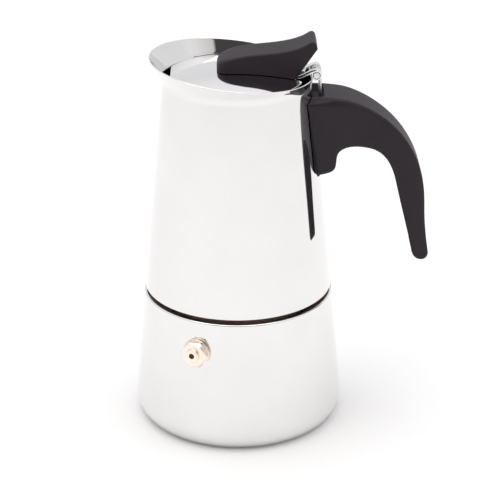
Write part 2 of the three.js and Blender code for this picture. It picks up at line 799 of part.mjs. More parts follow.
// ---- handle ----
// Side view: flat on top, sweeping out and down to a slim rounded tip.
function handleShape() {
  const root = armStart;
  const reach = collector.neck + handle.reach;
  const tip = handleTop - handle.length;
  const { thick } = handle;
  const out = (share) => THREE.MathUtils.lerp(root, reach, share);
  const down = (share) => handleTop - handle.length * share;
  const shape = new THREE.Shape();
  shape.moveTo(root, handleBottom);
  shape.lineTo(root, handleTop - 0.2);
  shape.bezierCurveTo(out(0.156), handleTop, out(0.26), handleTop + 0.4, out(0.369), down(0.025));
  shape.bezierCurveTo(out(0.536), down(0.067), out(0.701), down(0.157), out(0.799), down(0.262));
  shape.bezierCurveTo(out(0.917), down(0.387), out(0.955), down(0.511), out(0.96), down(0.673));
  shape.bezierCurveTo(out(0.965), down(0.786), reach - 0.9, down(0.873), reach, tip + 4.4);
  shape.bezierCurveTo(reach + 0.4, tip + 0.9, reach - 2.4, tip - 0.2, reach - 4.6, tip + 0.7);
  shape.bezierCurveTo(reach - 6.6, tip + 1.6, reach - thick + 0.1, tip + 3.6, reach - thick - 0.2, tip + 6);
  shape.bezierCurveTo(out(0.841), down(0.838), out(0.775), down(0.663), out(0.73), down(0.519));
  shape.bezierCurveTo(out(0.699), down(0.421), out(0.647), down(0.332), out(0.519), down(0.307));
  shape.bezierCurveTo(out(0.433), down(0.289), out(0.332), down(0.287), screwX + 4.8, screwSeat + 6);
  shape.bezierCurveTo(
    screwX + 2.6, screwSeat + 3.4, screwX + 4.4, screwSeat - 1.2, screwX + 2, screwSeat - 3);
  shape.bezierCurveTo(screwX, screwSeat - 4.4, root + 8.4, handleBottom + 0.5, root + 2, handleBottom);
  return shape;
}

// Half width of the handle: full at the mounting end, slimmer towards the tip.
function handleHalfWidth(x, z) {
  const along = THREE.MathUtils.clamp((x - screwX - 7.4) / 60 + (handleTop - z) / 130, 0, 1);
  return THREE.MathUtils.lerp(handle.halfWidthTop, handle.halfWidthTip, along);
}

// Flared root: the bar grows wider towards the wall that it is mounted on.
function handleRoot() {
  const near = armStart;
  const far = screwX + handleScrew.radius;
  const slim = handle.halfWidthTop - handle.flareSlim;
  const wide = handle.halfWidthTop + handle.flare;
  const plan = new THREE.Shape([at(near, -wide), at(far, -slim), at(far, slim), at(near, wide)]);
  const bottom = handleBottom + handle.flareFoot;
  const depth = handleTop - handle.flareTop - bottom;
  return new THREE.ExtrudeGeometry(plan, { depth, bevelEnabled: false }).translate(0, 0, bottom);
}

function makeHandle() {
  const full = handle.halfWidthTop;
  const bar = slab(handleShape(), -full, full, handle.round, 5);
  const place = bar.attributes.position;
  for (let i = 0; i < place.count; i++) {
    const share = handleHalfWidth(place.getX(i), place.getZ(i)) / full;
    place.setY(i, place.getY(i) * share);
  }
  const half = bracket.width / 2 + gap;
  const body = collectorBody(gap, seamTop, bendTop + 4);
  const topNotch = box(20, strapBack + 1, -8.4, 8.4, handleTop - 2.6, handleTop + 9);
  const strapRoom = box(20, strapBack + gap, -half, half, strapFoot - gap, handleTop + 9);
  const socket = slab(plateSide(gap), -half, half);
  const screwTop = screwSeat + handleScrew.length + 1;
  const shaft = disc(handleScrew.radius + gap, screwSeat - 20, screwTop, 20);
  shaft.translate(screwX, 0, 0);
  const headRoom = disc(handleScrew.head + gap, screwSeat - 20, screwSeat, 24);
  headRoom.translate(screwX, 0, 0);
  return cut(join(bar, handleRoot()), body, topNotch, strapRoom, socket, screwLug(gap), shaft, headRoom);
}

function makeHandleScrew() {
  const { radius, head, headThick, length } = handleScrew;
  const seat = screwSeat;
  const under = seat - gap;
  const low = under - headThick;
  const screw = turned([
    [0, low],
    [head - 0.9, low],
    [head, low + 0.7],
    [head, under],
    [radius, under],
    [radius, seat + length - 0.5],
    [radius - 0.5, seat + length],
    [0, seat + length],
  ], 20);
  return cut(screw, ...crossSlot(1.6, 0.32, low)).translate(screwX, 0, 0);
}

// ---- assembly ----
addPiece('boiler_shell', makeBoilerShell(), steel);
addPiece('boiler_base', makeBoilerBase(), steel);
addPiece('boiler_neck', makeBoilerNeck(), brushed);
addPiece('valve_body', makeValveBody(), brass);
addPiece('valve_retainer', makeValveRetainer(), brass);
addPiece('valve_washer', makeValveWasher(), silicone);
addPiece('valve_nut', makeValveNut(), brass);
addPiece('valve_poppet', makeValvePoppet(), brass);
addPiece('valve_spring', makeValveSpring(), brushed);
addPiece('funnel_cup', makeFunnelCup(), brushed);
addPiece('funnel_plate', makeFunnelPlate(), brushed);
addPiece('funnel_stem', makeFunnelStem(), brushed);
addPiece('gasket', makeGasket(), silicone);
addPiece('filter_screen', makeFilterScreen(), brushed);
addPiece('collector_shell', makeCollectorShell(), steel);
addPiece('thread_ring', makeThreadRing(), brushed);
addPiece('collector_floor', makeCollectorFloor(), brushed);
addPiece('column', makeColumn(), brushed);
addPiece('column_cap', makeColumnCap(), brushed);
addPiece('hinge_bracket', makeBracket(), steel);
addPiece('handle', makeHandle(), plastic);
addPiece('handle_screw', makeHandleScrew(), steel);
addPiece('lid_plate', makeLidPlate(), steel);
addPiece('lid_knob', makeKnob(), plastic);
addPiece('knob_screw_front', makeKnobScrew(knobScrews.front), steel);
addPiece('knob_screw_rear', makeKnobScrew(knobScrews.rear), steel);
addPiece('hinge_pin', makeHingePin(), steel);

export default pot;
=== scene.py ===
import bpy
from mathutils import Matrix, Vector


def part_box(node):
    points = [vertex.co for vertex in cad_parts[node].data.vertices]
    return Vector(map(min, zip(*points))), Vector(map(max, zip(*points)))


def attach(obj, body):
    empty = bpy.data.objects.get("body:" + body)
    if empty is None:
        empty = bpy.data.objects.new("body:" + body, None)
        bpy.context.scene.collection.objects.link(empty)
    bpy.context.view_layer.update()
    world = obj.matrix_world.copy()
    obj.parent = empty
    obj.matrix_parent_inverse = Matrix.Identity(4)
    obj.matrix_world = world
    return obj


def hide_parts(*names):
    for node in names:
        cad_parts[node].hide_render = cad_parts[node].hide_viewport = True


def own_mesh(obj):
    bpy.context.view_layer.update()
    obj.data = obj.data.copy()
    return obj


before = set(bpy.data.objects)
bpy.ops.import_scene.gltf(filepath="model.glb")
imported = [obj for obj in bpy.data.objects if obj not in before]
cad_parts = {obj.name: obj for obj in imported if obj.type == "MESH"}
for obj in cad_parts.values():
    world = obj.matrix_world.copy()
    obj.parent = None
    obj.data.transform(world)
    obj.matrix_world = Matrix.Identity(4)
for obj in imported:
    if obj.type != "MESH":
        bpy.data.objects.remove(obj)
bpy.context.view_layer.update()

import math

import bmesh
import bpy
import numpy as np
from mathutils import Matrix, Vector

mm = 0.001  # shapes are worked out in millimetres and stored in metres
clearance = 0.3  # between neighbouring solids that don't touch


def span(node):
    low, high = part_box(node)
    return np.array(low) / mm, np.array(high) / mm


# ---- shapes as grids of points ----

def gridFaces(rows, columns, wrapRows=False, wrapColumns=True):
    # one four-sided face between neighbouring rows and columns; a wrapped side joins its last line to its first
    r, c = np.meshgrid(np.arange(rows - (not wrapRows)), np.arange(columns - (not wrapColumns)), indexing="ij")
    r2, c2 = (r + 1) % rows, (c + 1) % columns
    return np.stack([r * columns + c, r * columns + c2, r2 * columns + c2, r2 * columns + c], -1).reshape(-1, 4)


def softened(corners, radius, steps=4, closed=True):
    # each corner P becomes the curve (1-t)^2 A + 2t(1-t) P + t^2 B, where A and B lie on its two sides
    p = np.asarray(corners, float)
    size = np.broadcast_to(np.asarray(radius, float), len(p))[:, None]
    sides = np.roll(p, 1, 0) - p, np.roll(p, -1, 0) - p
    lengths = [np.maximum(np.linalg.norm(s, axis=1, keepdims=True), 1e-9) for s in sides]
    a, b = (p + s / n * np.minimum(size, 0.45 * n) for s, n in zip(sides, lengths))
    t = np.linspace(0, 1, steps + 1)[None, :, None]
    curve = (1 - t) ** 2 * a[:, None] + 2 * t * (1 - t) * p[:, None] + t ** 2 * b[:, None]
    if not closed:
        curve[0], curve[-1] = p[0], p[-1]
    return curve.reshape(-1, 2)


def turned(profile, columns=144, closed=True):
    # radius and height come from the profile, and the angle runs once round the Z axis
    profile = np.asarray(profile, float)
    angle = np.linspace(0, 2 * np.pi, columns, endpoint=False)
    r, z = profile[:, :1], profile[:, 1:]
    points = np.stack([r * np.cos(angle), r * np.sin(angle), z + 0 * angle], -1)
    return points.reshape(-1, 3), gridFaces(len(profile), columns, wrapRows=closed)


def outwardNormals(outline):
    # the outline's tangent turned a quarter, pointing away from its area
    tangent = np.roll(outline, -1, 0) - np.roll(outline, 1, 0)
    tangent /= np.maximum(np.linalg.norm(tangent, axis=1, keepdims=True), 1e-9)
    nxt = np.roll(outline, -1, 0)
    area = np.sum(outline[:, 0] * nxt[:, 1] - nxt[:, 0] * outline[:, 1])
    return np.sign(area) * np.stack([tangent[:, 1], -tangent[:, 0]], -1)


def extruded(outline, halfWidth, edge, steps=5, between=2):
    # an outline in the x-z plane carried along Y; near both ends it shrinks by edge*(1-sin t) while y moves
    # by edge*(1-cos t), which rounds the edges
    t = np.linspace(0, np.pi / 2, steps + 1)
    shrink, y = edge * (1 - np.sin(t)), -halfWidth + edge * (1 - np.cos(t))
    middle = np.linspace(edge - halfWidth, halfWidth - edge, between + 2)[1:-1]
    ys = np.concatenate([y, middle, -y[::-1]])
    shrinks = np.concatenate([shrink, 0 * middle, shrink[::-1]])
    flat = outline[None] - shrinks[:, None, None] * outwardNormals(outline)[None]
    return np.stack([flat[..., 0], np.broadcast_to(ys[:, None], flat.shape[:2]), flat[..., 1]], -1)


def capped(points):
    # rows of points joined into a skin, with one many-sided face over the first row and one over the last
    rows, columns = points.shape[:2]
    faces = gridFaces(rows, columns).tolist()
    faces += [list(range(columns)), list(range((rows - 1) * columns, rows * columns))]
    return points.reshape(-1, 3), faces


def bezier(start, *curves, steps=14):
    # cubic curves end to end: (1-t)^3 A + 3t(1-t)^2 B + 3t^2(1-t) C + t^3 D
    t = np.linspace(0, 1, steps + 1)[1:, None]
    runs, a = [np.array([start], float)], np.array(start, float)
    for b, c, d in curves:
        b, c, d = (np.array(q, float) for q in (b, c, d))
        runs.append((1 - t) ** 3 * a + 3 * t * (1 - t) ** 2 * b + 3 * t ** 2 * (1 - t) * c + t ** 3 * d)
        a = d
    return np.concatenate(runs)


def line(a, b, steps):
    return np.linspace(a, b, steps + 1)[1:]


def addPiece(name, parts, body, nodes, look, sharp=38, modifiers=()):
    # welds the parts' points, turns every face outwards, and puts the piece on its body
    # in place of its CAD nodes
    points, faces, first = [], [], 0
    for p, f in parts:
        points.append(np.asarray(p, float).reshape(-1, 3) * mm)
        faces += [[first + i for i in face] for face in (f.tolist() if isinstance(f, np.ndarray) else f)]
        first += len(points[-1])
    mesh = bpy.data.meshes.new(name)
    mesh.from_pydata(np.concatenate(points).tolist(), [], faces)
    work = bmesh.new()
    work.from_mesh(mesh)
    bmesh.ops.remove_doubles(work, verts=work.verts, dist=4e-6)
    bmesh.ops.recalc_face_normals(work, faces=work.faces)
    work.to_mesh(mesh)
    work.free()
    piece = bpy.data.objects.new(name, mesh)
    bpy.context.scene.collection.objects.link(piece)
    for kind, settings in modifiers:
        added = piece.modifiers.new(kind, kind)
        for key, value in settings.items():
            setattr(added, key, value)
    if modifiers:
        solid = bpy.data.meshes.new_from_object(piece.evaluated_get(bpy.context.evaluated_depsgraph_get()))
        piece.modifiers.clear()
        piece.data = solid
        solid.name = name
    piece.data.materials.clear()
    piece.data.materials.append(look)
    piece.data.shade_smooth()
    piece.data.set_sharp_from_angle(angle=math.radians(sharp))
    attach(piece, body)
    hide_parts(*nodes)
    return piece


# ---- materials ----

class Wire:
    # a shader socket that takes part in ordinary sums
    def __init__(self, look, socket):
        self.look, self.socket = look, socket

    def __add__(self, other):
        return self.look.maths("ADD", self, other)

    def __sub__(self, other):
        return self.look.maths("SUBTRACT", self, other)

    def __rsub__(self, other):
        return self.look.maths("SUBTRACT", other, self)

    def __mul__(self, other):
        return self.look.maths("MULTIPLY", self, other)

    def __truediv__(self, other):
        return self.look.maths("DIVIDE", self, other)

    __radd__, __rmul__ = __add__, __mul__


class Look:
    def __init__(self, name):
        self.material = bpy.data.materials.new(name)
        self.material.use_nodes = True
        self.tree = self.material.node_tree
        self.shader = self.tree.nodes["Principled BSDF"]

    def node(self, kind, settings=None, inputs=None, output=0):
        made = self.tree.nodes.new(kind)
        for key, value in (settings or {}).items():
            if key == "stops":
                ramp = made.color_ramp
                for i, (place, colour) in enumerate(value):
                    stop = ramp.elements[i] if i < 2 else ramp.elements.new(place)
                    stop.position, stop.color = place, (*colour, 1)
            else:
                setattr(made, key, value)
        for key, value in (inputs or {}).items():
            self.plug(made.inputs[key], value)
        return Wire(self, made.outputs[output])

    def plug(self, socket, value):
        if isinstance(value, Wire):
            self.tree.links.new(value.socket, socket)
        else:
            socket.default_value = value

    def maths(self, operation, a, b=0.0):
        return self.node("ShaderNodeMath", {"operation": operation}, {0: a, 1: b})

    def clamp(self, value, low, high):
        # 0 below low, 1 above high, and a straight line between them
        return self.node("ShaderNodeMapRange", {"clamp": True},
                         {"Value": value, "From Min": low, "From Max": high})

    def mix(self, factor, a, b):
        return self.node("ShaderNodeMix", {"data_type": "RGBA"}, {0: factor, 6: a, 7: b}, 2)

    def place(self, stretch=(1, 1, 1)):
        # object coordinates in metres, scaled along each axis
        here = self.node("ShaderNodeTexCoord", output="Object")
        return self.node("ShaderNodeMapping", {}, {"Vector": here, "Scale": stretch})

    def axes(self):
        parts = self.node("ShaderNodeSeparateXYZ", {}, {"Vector": self.place()})
        return [Wire(self, parts.socket.node.outputs[i]) for i in range(3)]

    def noise(self, scale, detail=2.0, rough=0.5, stretch=(1, 1, 1)):
        return self.node("ShaderNodeTexNoise", {}, {"Vector": self.place(stretch), "Scale": scale,
                                                    "Detail": detail, "Roughness": rough})

    def along(self, value, scale, detail=3.0):
        # noise that changes with one number only, such as the lines a lathe leaves
        return self.node("ShaderNodeTexNoise", {"noise_dimensions": "1D"}, {"W": value, "Scale": scale,
                                                                           "Detail": detail})

    def bump(self, height, distance, strength=1.0):
        return self.node("ShaderNodeBump", {}, {"Height": height, "Distance": distance, "Strength": strength})

    def set(self, values):
        for key, value in values.items():
            self.plug(self.shader.inputs[key], value)
        return self.material


def rgb(r, g, b):
    return (r, g, b, 1.0)


def fromAxis(look):
    x, y, z = look.axes()
    return look.maths("SQRT", x * x + y * y), z


def polishedSteel():
    values = {"colour": rgb(0.825, 0.819, 0.812), "shade": rgb(0.795, 0.788, 0.784), "roughness": 0.035,
              "smear": 0.035, "lines": 0.018, "ripple": 0.00001}
    look = Look("polishedSteel")
    z = look.axes()[2]
    cloud = look.noise(38, 3, 0.55)
    lines = look.along(z, 5200)
    fine = look.noise(900, 2, 0.6, (1, 1, 6))
    ripple = look.noise(22, 1, 0.4, (1, 1, 0.45))
    return look.set({
        "Base Color": look.mix(look.clamp(cloud, 0.35, 0.75), values["colour"], values["shade"]),
        "Metallic": 1.0,
        "Roughness": (values["roughness"] + look.clamp(cloud, 0.45, 0.8) * values["smear"]
                      + lines * fine * values["lines"]),
        "Normal": look.bump(ripple + lines * 0.004, values["ripple"], 0.6)})


def satinSteel():
    values = {"colour": rgb(0.74, 0.735, 0.73), "shade": rgb(0.6, 0.595, 0.585), "roughness": 0.24,
              "brush": 0.16}
    look = Look("satinSteel")
    radius, z = fromAxis(look)
    rings, rows = look.along(radius, 3800), look.along(z, 3800)
    brushed = rings * 0.5 + rows * 0.5
    cloud = look.noise(60, 4, 0.6)
    return look.set({
        "Base Color": look.mix(look.clamp(cloud * 0.6 + brushed * 0.4, 0.3, 0.75), values["colour"],
                               values["shade"]),
        "Metallic": 1.0,
        "Roughness": values["roughness"] + brushed * values["brush"],
        "Normal": look.bump(brushed, 0.00003, 0.5)})


def machinedSteel():
    # the brown colour and its two heights below are painted shade for the groove between the vessels
    values = {"colour": rgb(0.72, 0.71, 0.7), "shade": rgb(0.5, 0.49, 0.48), "roughness": 0.2,
              "grooveShade": rgb(0.2, 0.105, 0.078), "grooveShadeTop": 65.4 * mm, "grooveShadeBottom": 61.0 * mm}
    look = Look("machinedSteel")
    radius, z = fromAxis(look)
    lines = look.along(z + radius * 0.7, 9000, 2)
    spots = look.noise(240, 4, 0.6)
    # painted shade: a dark brown band, less metallic and rougher, stands in for the shade and dark reflections
    # in the open groove between the two vessels
    grooveShadeMask = look.clamp(z, values["grooveShadeBottom"] - 0.0003, values["grooveShadeBottom"]) * (
        1 - look.clamp(z, values["grooveShadeTop"], values["grooveShadeTop"] + 0.0006))
    metal = look.mix(look.clamp(spots, 0.4, 0.75), values["colour"], values["shade"])
    return look.set({
        "Base Color": look.mix(grooveShadeMask * (0.86 + spots * 0.14), metal, values["grooveShade"]),
        "Metallic": 1.0 - grooveShadeMask * 0.7,
        "Roughness": values["roughness"] + lines * 0.14 + grooveShadeMask * 0.3,
        "Normal": look.bump(lines, 0.00002, 0.5)})


def drawnWire():
    look = Look("drawnWire")
    spots = look.noise(700, 3, 0.6)
    return look.set({
        "Base Color": look.mix(look.clamp(spots, 0.35, 0.7), rgb(0.55, 0.55, 0.57), rgb(0.36, 0.36, 0.39)),
        "Metallic": 1.0, "Roughness": 0.24 + spots * 0.16,
        "Normal": look.bump(spots, 0.00001, 0.4)})


def paleBrass():
    values = {"colour": rgb(0.965, 0.865, 0.76), "shade": rgb(0.87, 0.68, 0.54), "roughness": 0.2}
    look = Look("paleBrass")
    spots, grain = look.noise(420, 4, 0.6), look.noise(4200, 2, 0.6)
    return look.set({
        "Base Color": look.mix(look.clamp(spots, 0.45, 0.85), values["colour"], values["shade"]),
        "Metallic": 1.0,
        "Roughness": values["roughness"] + grain * 0.14,
        "Normal": look.bump(grain, 0.00001, 0.5)})


def tarnishedBrass():
    look = Look("tarnishedBrass")
    spots = look.noise(1500, 4, 0.6)
    return look.set({
        "Base Color": look.mix(look.clamp(spots, 0.35, 0.7), rgb(0.07, 0.035, 0.02), rgb(0.16, 0.085, 0.045)),
        "Metallic": 0.4,
        "Roughness": 0.5 + spots * 0.15,
        "Normal": look.bump(spots, 0.00002, 0.5)})


def blackPlastic():
    values = {"colour": rgb(0.0135, 0.0088, 0.0135), "shade": rgb(0.0185, 0.0128, 0.0185), "roughness": 0.43,
              "grain": 0.00004}
    look = Look("blackPlastic")
    grain = look.noise(2600, 3, 0.65)
    cells = look.node("ShaderNodeTexVoronoi", {}, {"Vector": look.place(), "Scale": 1900.0})
    cloud = look.noise(70, 3, 0.5)
    return look.set({
        "Base Color": look.mix(look.clamp(cloud, 0.3, 0.75), values["colour"], values["shade"]),
        "Roughness": values["roughness"] + cloud * 0.08 + grain * 0.07,
        "Specular IOR Level": 0.27,
        "Normal": look.bump(grain + cells * 0.5, values["grain"], 0.55)})


def offWhiteSilicone():
    look = Look("offWhiteSilicone")
    cloud, grain = look.noise(90, 3, 0.5), look.noise(1900, 3, 0.6)
    return look.set({
        "Base Color": look.mix(look.clamp(cloud, 0.3, 0.7), rgb(0.84, 0.81, 0.74), rgb(0.76, 0.71, 0.62)),
        "Roughness": 0.44 + grain * 0.16,
        "Normal": look.bump(grain, 0.00003, 0.5)})


steel, satin, machined, wire = polishedSteel(), satinSteel(), machinedSteel(), drawnWire()
brass, tarnish, plastic, silicone = paleBrass(), tarnishedBrass(), blackPlastic(), offWhiteSilicone()
print("materials made")

# ---- the two vessels' walls ----

shellHigh = span("boiler_shell")[1]
boiler = {"corner": 6.0, "cornerHeight": 9.9, "shoulder": 43.3, "shoulderRound": 0.8, "wall": 0.8, "base": 38.5,
          "mouth": 36.7, "widest": shellHigh[0], "height": shellHigh[2]}
boilerTaper = (boiler["widest"] - boiler["shoulder"]) / (boiler["height"] - boiler["cornerHeight"])

bodyLow, bodyHigh = span("collector_shell")
collector = {"bottom": bodyLow[2], "foot": bodyHigh[1], "neck": 33.4, "neckHeight": 96.9, "bend": 3.8,
             "slope": 0.58, "rimRise": 7.7, "rimTilt": 6.4, "wall": 0.6, "notchHalf": 8.6, "notchBelow": 3.3}
neckZ = collector["bottom"] + collector["neckHeight"]
collectorTaper = (collector["foot"] - collector["neck"]) / collector["neckHeight"]
hingeLow, hingeHigh = span("hinge_pin")
hinge = {"x": (hingeLow[0] + hingeHigh[0]) / 2, "z": (hingeLow[2] + hingeHigh[2]) / 2, "inner": 1.65,
         "outer": 2.4, "halfWidth": 6.4, "halfMiddle": 2.1, "halfSlot": 2.6}


def boilerRadius(z):
    return boiler["widest"] - (z - boiler["cornerHeight"]) * boilerTaper


def collectorRadius(z):
    # a straight taper up to the neck, a parabola through the bend, then a straight flare
    h = np.maximum(np.asarray(z, float) - neckZ, 0)
    bent = np.minimum(h, collector["bend"])
    turn = (collector["slope"] + collectorTaper) / (2 * collector["bend"])
    straight = collector["foot"] - (np.minimum(z, neckZ) - collector["bottom"]) * collectorTaper
    return straight - bent * collectorTaper + turn * bent ** 2 + (h - bent) * collector["slope"]


def makeBoiler():
    b = boiler
    t = np.radians(np.linspace(-90, 4, 26))[:, None]
    corner = np.concatenate([b["widest"] - b["corner"] + b["corner"] * np.cos(t),
                             b["cornerHeight"] * (1 + np.sin(t))], 1)
    s = np.radians(np.linspace(4, 90, 12))[:, None]
    top = b["shoulder"] - b["shoulderRound"], b["height"] - b["shoulderRound"]
    bend = b["shoulderRound"]
    shoulder = np.concatenate([top[0] + bend * np.cos(s), top[1] + bend * np.sin(s)], 1)
    mouth = b["mouth"]
    inner = np.concatenate([b["widest"] - b["corner"] + (b["corner"] - b["wall"]) * np.cos(t[::-1]),
                            b["cornerHeight"] + (b["cornerHeight"] - b["wall"]) * np.sin(t[::-1])], 1)
    outline = np.concatenate([
        [[b["base"] + 0.3, 0.25], [b["base"] + 0.5, 0.0]], corner, shoulder,
        [[mouth + 0.3, b["height"]], [mouth, b["height"] - 0.3], [mouth, b["height"] - b["wall"]]],
        [[top[0], b["height"] - b["wall"]], [boilerRadius(top[1]) - b["wall"], top[1]]],
        inner, [[b["base"] + 0.3, b["wall"]]]])
    addPiece("boilerBody", [turned(outline, 192)], "boiler", ["boiler_shell"], steel, 30)
    # the base disc has a shallow turned dish and one ring
    r = b["base"]
    dish = 0.35
    disc = [[0, dish], [11.4, dish], [11.9, 0.12], [13.1, 0.12], [13.6, dish], [31, dish], [32, 0.0],
            [r - 0.25, 0.0], [r, 0.2], [r, b["wall"]], [0, b["wall"]]]
    addPiece("boilerBaseDisc", [turned(disc, 144, False)], "boiler", ["boiler_base"],
             steel, 30)


def makeCollector():
    c = collector
    half = math.asin(c["notchHalf"] / c["neck"])
    fine = np.array([-0.02, -0.004, -0.0005, 0.0005, 0.004, 0.02])
    angle = np.sort(np.concatenate([np.linspace(0, 2 * np.pi, 240, endpoint=False), half + fine,
                                    2 * np.pi - half - fine]))
    # the rim is where the flare meets a tilted plane; beside the hinge it drops straight to the notch
    top = np.full(len(angle), c["bottom"] + c["neckHeight"] + c["rimRise"])
    for _ in range(12):
        top = neckZ + c["rimRise"] - math.tan(math.radians(c["rimTilt"])) * collectorRadius(top) * np.cos(angle)
    inNotch = (np.abs(np.sin(angle)) * c["neck"] < c["notchHalf"]) & (np.cos(angle) > 0)
    top = np.where(inNotch, hinge["z"] - c["notchBelow"], top) - c["wall"] / 2
    share = np.concatenate([np.linspace(0, 0.9, 36), np.linspace(0.905, 1, 44)])[:, None]
    wall = c["wall"]
    low = c["bottom"] + wall / 2
    z = low + (top - low) * share
    turn = np.linspace(0, np.pi, 9)[1:-1, None]
    lip = collectorRadius(top) - wall / 2 + wall / 2 * np.cos(turn), top + wall / 2 * np.sin(turn)
    middle = collectorRadius(low) - wall / 2
    foot = middle - wall / 2 * np.cos(turn) + 0 * angle, low - wall / 2 * np.sin(turn) + 0 * angle
    r = np.concatenate([collectorRadius(z), lip[0], collectorRadius(z[::-1]) - wall, foot[0]])
    h = np.concatenate([z, lip[1], z[::-1], foot[1]])
    points = np.stack([r * np.cos(angle), r * np.sin(angle), h], -1)
    faces = gridFaces(len(r), len(angle), wrapRows=True)
    addPiece("collectorBody", [(points, faces)], "collector", ["collector_shell"], steel, 50)


makeBoiler()
makeCollector()
print("vessels made")

# ---- screw thread, funnel, gasket and filter ----

thread = {"pitch": 3.5, "depth": 1.1, "crest": 0.9, "foot": 1.9, "turns": 2.25, "root": 36.4, "slack": 0.4,
          "fade": 30, "start": 65.5625, "neckWall": 2.4, "flange": 1.1}
sieves = {"plate": {"pitch": 2.9, "hole": 0.72, "within": 28.6},
          "screen": {"pitch": 2.35, "hole": 0.55, "within": 31.2}}
seal = {"width": 7.7, "round": 0.9}


def ridge(angle, z, start, turns):
    # height of a helical ridge: full within its crest, sloping to nothing at its foot, and fading
    # at its two ends
    height = np.zeros(np.broadcast(angle, z).shape)
    for k in range(int(math.ceil(turns))):
        turn = angle / (2 * np.pi) + k
        off = np.abs(z - start - turn * thread["pitch"])
        ends = np.minimum(turn, turns - turn)
        grown = np.clip(0.06 + ends * 360 / thread["fade"], 0, 1) * (ends >= 0)
        slope = np.maximum((thread["foot"] - thread["crest"]) / 2 * grown, 1e-6)
        rise = np.clip((thread["foot"] / 2 * grown - off) / slope, 0, 1)
        height = np.maximum(height, thread["depth"] * grown * rise)
    return height


def threaded(profile, low, high, base, side, start, turns, columns=192, rows=110):
    # a turned profile whose side between low and high stands proud of the base radius by the ridge's height
    angle = np.linspace(0, 2 * np.pi, columns, endpoint=False)[None]
    z = np.linspace(low, high, rows)[:, None]
    wall = base + side * ridge(angle, z, start, turns)
    rest = np.asarray(profile, float)
    r = np.concatenate([wall, np.broadcast_to(rest[:, :1], (len(rest), columns))])
    h = np.concatenate([np.broadcast_to(z, (rows, columns)),
                        np.broadcast_to(rest[:, 1:], (len(rest), columns))])
    points = np.stack([r * np.cos(angle), r * np.sin(angle), h], -1)
    return points, gridFaces(len(r), columns, wrapRows=True)


def sieve(radius, pitch, hole, height, thick, name, body, node, holesWithin):
    # six-sided tiles in a honeycomb, each with a round hole; tiles past the edge are drawn in onto its circle
    reach = int(radius / pitch) + 3
    i, j = (v.ravel() for v in np.meshgrid(np.arange(-reach, reach + 1), np.arange(-reach, reach + 1)))
    centres = np.stack([pitch * (i + j / 2), pitch * j * math.sqrt(3) / 2], -1)
    away = np.linalg.norm(centres, axis=1)
    centres, away = centres[away < radius + pitch * 0.5], away[away < radius + pitch * 0.5]
    t = np.arange(12) * np.pi / 6 + np.pi / 6
    corner = pitch / 2 / np.cos(np.abs(np.mod(t + np.pi / 6, np.pi / 3) - np.pi / 6))
    outer = np.stack([corner * np.cos(t), corner * np.sin(t)], -1)
    inner = np.stack([hole * np.cos(t), hole * np.sin(t)], -1)
    pierced = away < holesWithin
    rings = np.stack([np.broadcast_to(outer, (len(centres), 12, 2)) + centres[:, None],
                      np.where(pierced[:, None, None], inner, inner * 0.5) + centres[:, None]], 1)
    far = np.linalg.norm(rings, axis=-1, keepdims=True)
    rings = rings * np.minimum(1, radius / np.maximum(far, 1e-9))
    middles = centres * np.minimum(1, radius / np.maximum(away, 1e-9))[:, None]
    points = np.concatenate([rings.reshape(-1, 2), middles])
    points = np.concatenate([points, np.full((len(points), 1), height - 0.05)], 1)
    base = (np.arange(len(centres)) * 24)[:, None]
    k = np.arange(12)[None]
    ring = np.stack([base + k, base + (k + 1) % 12, base + 12 + (k + 1) % 12, base + 12 + k], -1).reshape(-1, 4)
    shut = np.flatnonzero(~pierced)[:, None]
    fan = np.stack([shut * 24 + 12 + k, shut * 24 + 12 + (k + 1) % 12,
                    np.broadcast_to(len(centres) * 24 + shut, (len(shut), 12))], -1).reshape(-1, 3)
    lip = softened([[radius - 2.4, height - 0.01], [radius, height - 0.01], [radius, height - thick + 0.01],
                    [radius - 2.4, height - thick + 0.01]], 0.2)
    addPiece(name, [(points, ring.tolist() + fan.tolist())], body, [node], satin, 35,
             [("SOLIDIFY", {"thickness": (thick - 0.1) * mm, "offset": -1})])
    addPiece(name + "Rim", [turned(lip, 144)], body, [node], satin)


def makeNeck():
    low, high = span("boiler_neck")
    top, bottom, root, inner = high[2], low[2], thread["root"], thread["root"] - thread["neckWall"]
    flange = bottom + thread["flange"]
    rest = [[root - 0.15, top - 0.3], [root - 0.45, top - 0.03], [root - 0.7, top], [inner + 0.3, top],
            [inner, top - 0.3], [inner, bottom + 0.2], [inner + 0.2, bottom], [root + 1.4, bottom],
            [root + 1.6, bottom + 0.2], [root + 1.6, flange], [root, flange]]
    skin = threaded(rest, flange + 0.02, top - 0.5, root, 1, thread["start"], thread["turns"])
    addPiece("boilerNeck", [skin], "boiler", ["boiler_neck"], machined, 25)


def makeThreadRing():
    low, high = span("thread_ring")
    root = thread["root"] + thread["depth"] + thread["slack"]
    skinLow, skinHigh = (collectorRadius(z) - collector["wall"] - clearance for z in (low[2], high[2]))
    rest = [[root + 0.3, high[2]], [skinHigh - 0.2, high[2]], [skinHigh, high[2] - 0.2],
            [skinLow, low[2] + 0.2], [skinLow - 0.2, low[2]], [root + 0.3, low[2]]]
    skin = threaded(rest, low[2] + 0.25, high[2] - 0.25, root, -1, thread["start"] + thread["pitch"] / 2,
                    thread["turns"] - 0.5)
    addPiece("collectorThread", [skin], "collector", ["thread_ring"], machined, 25)


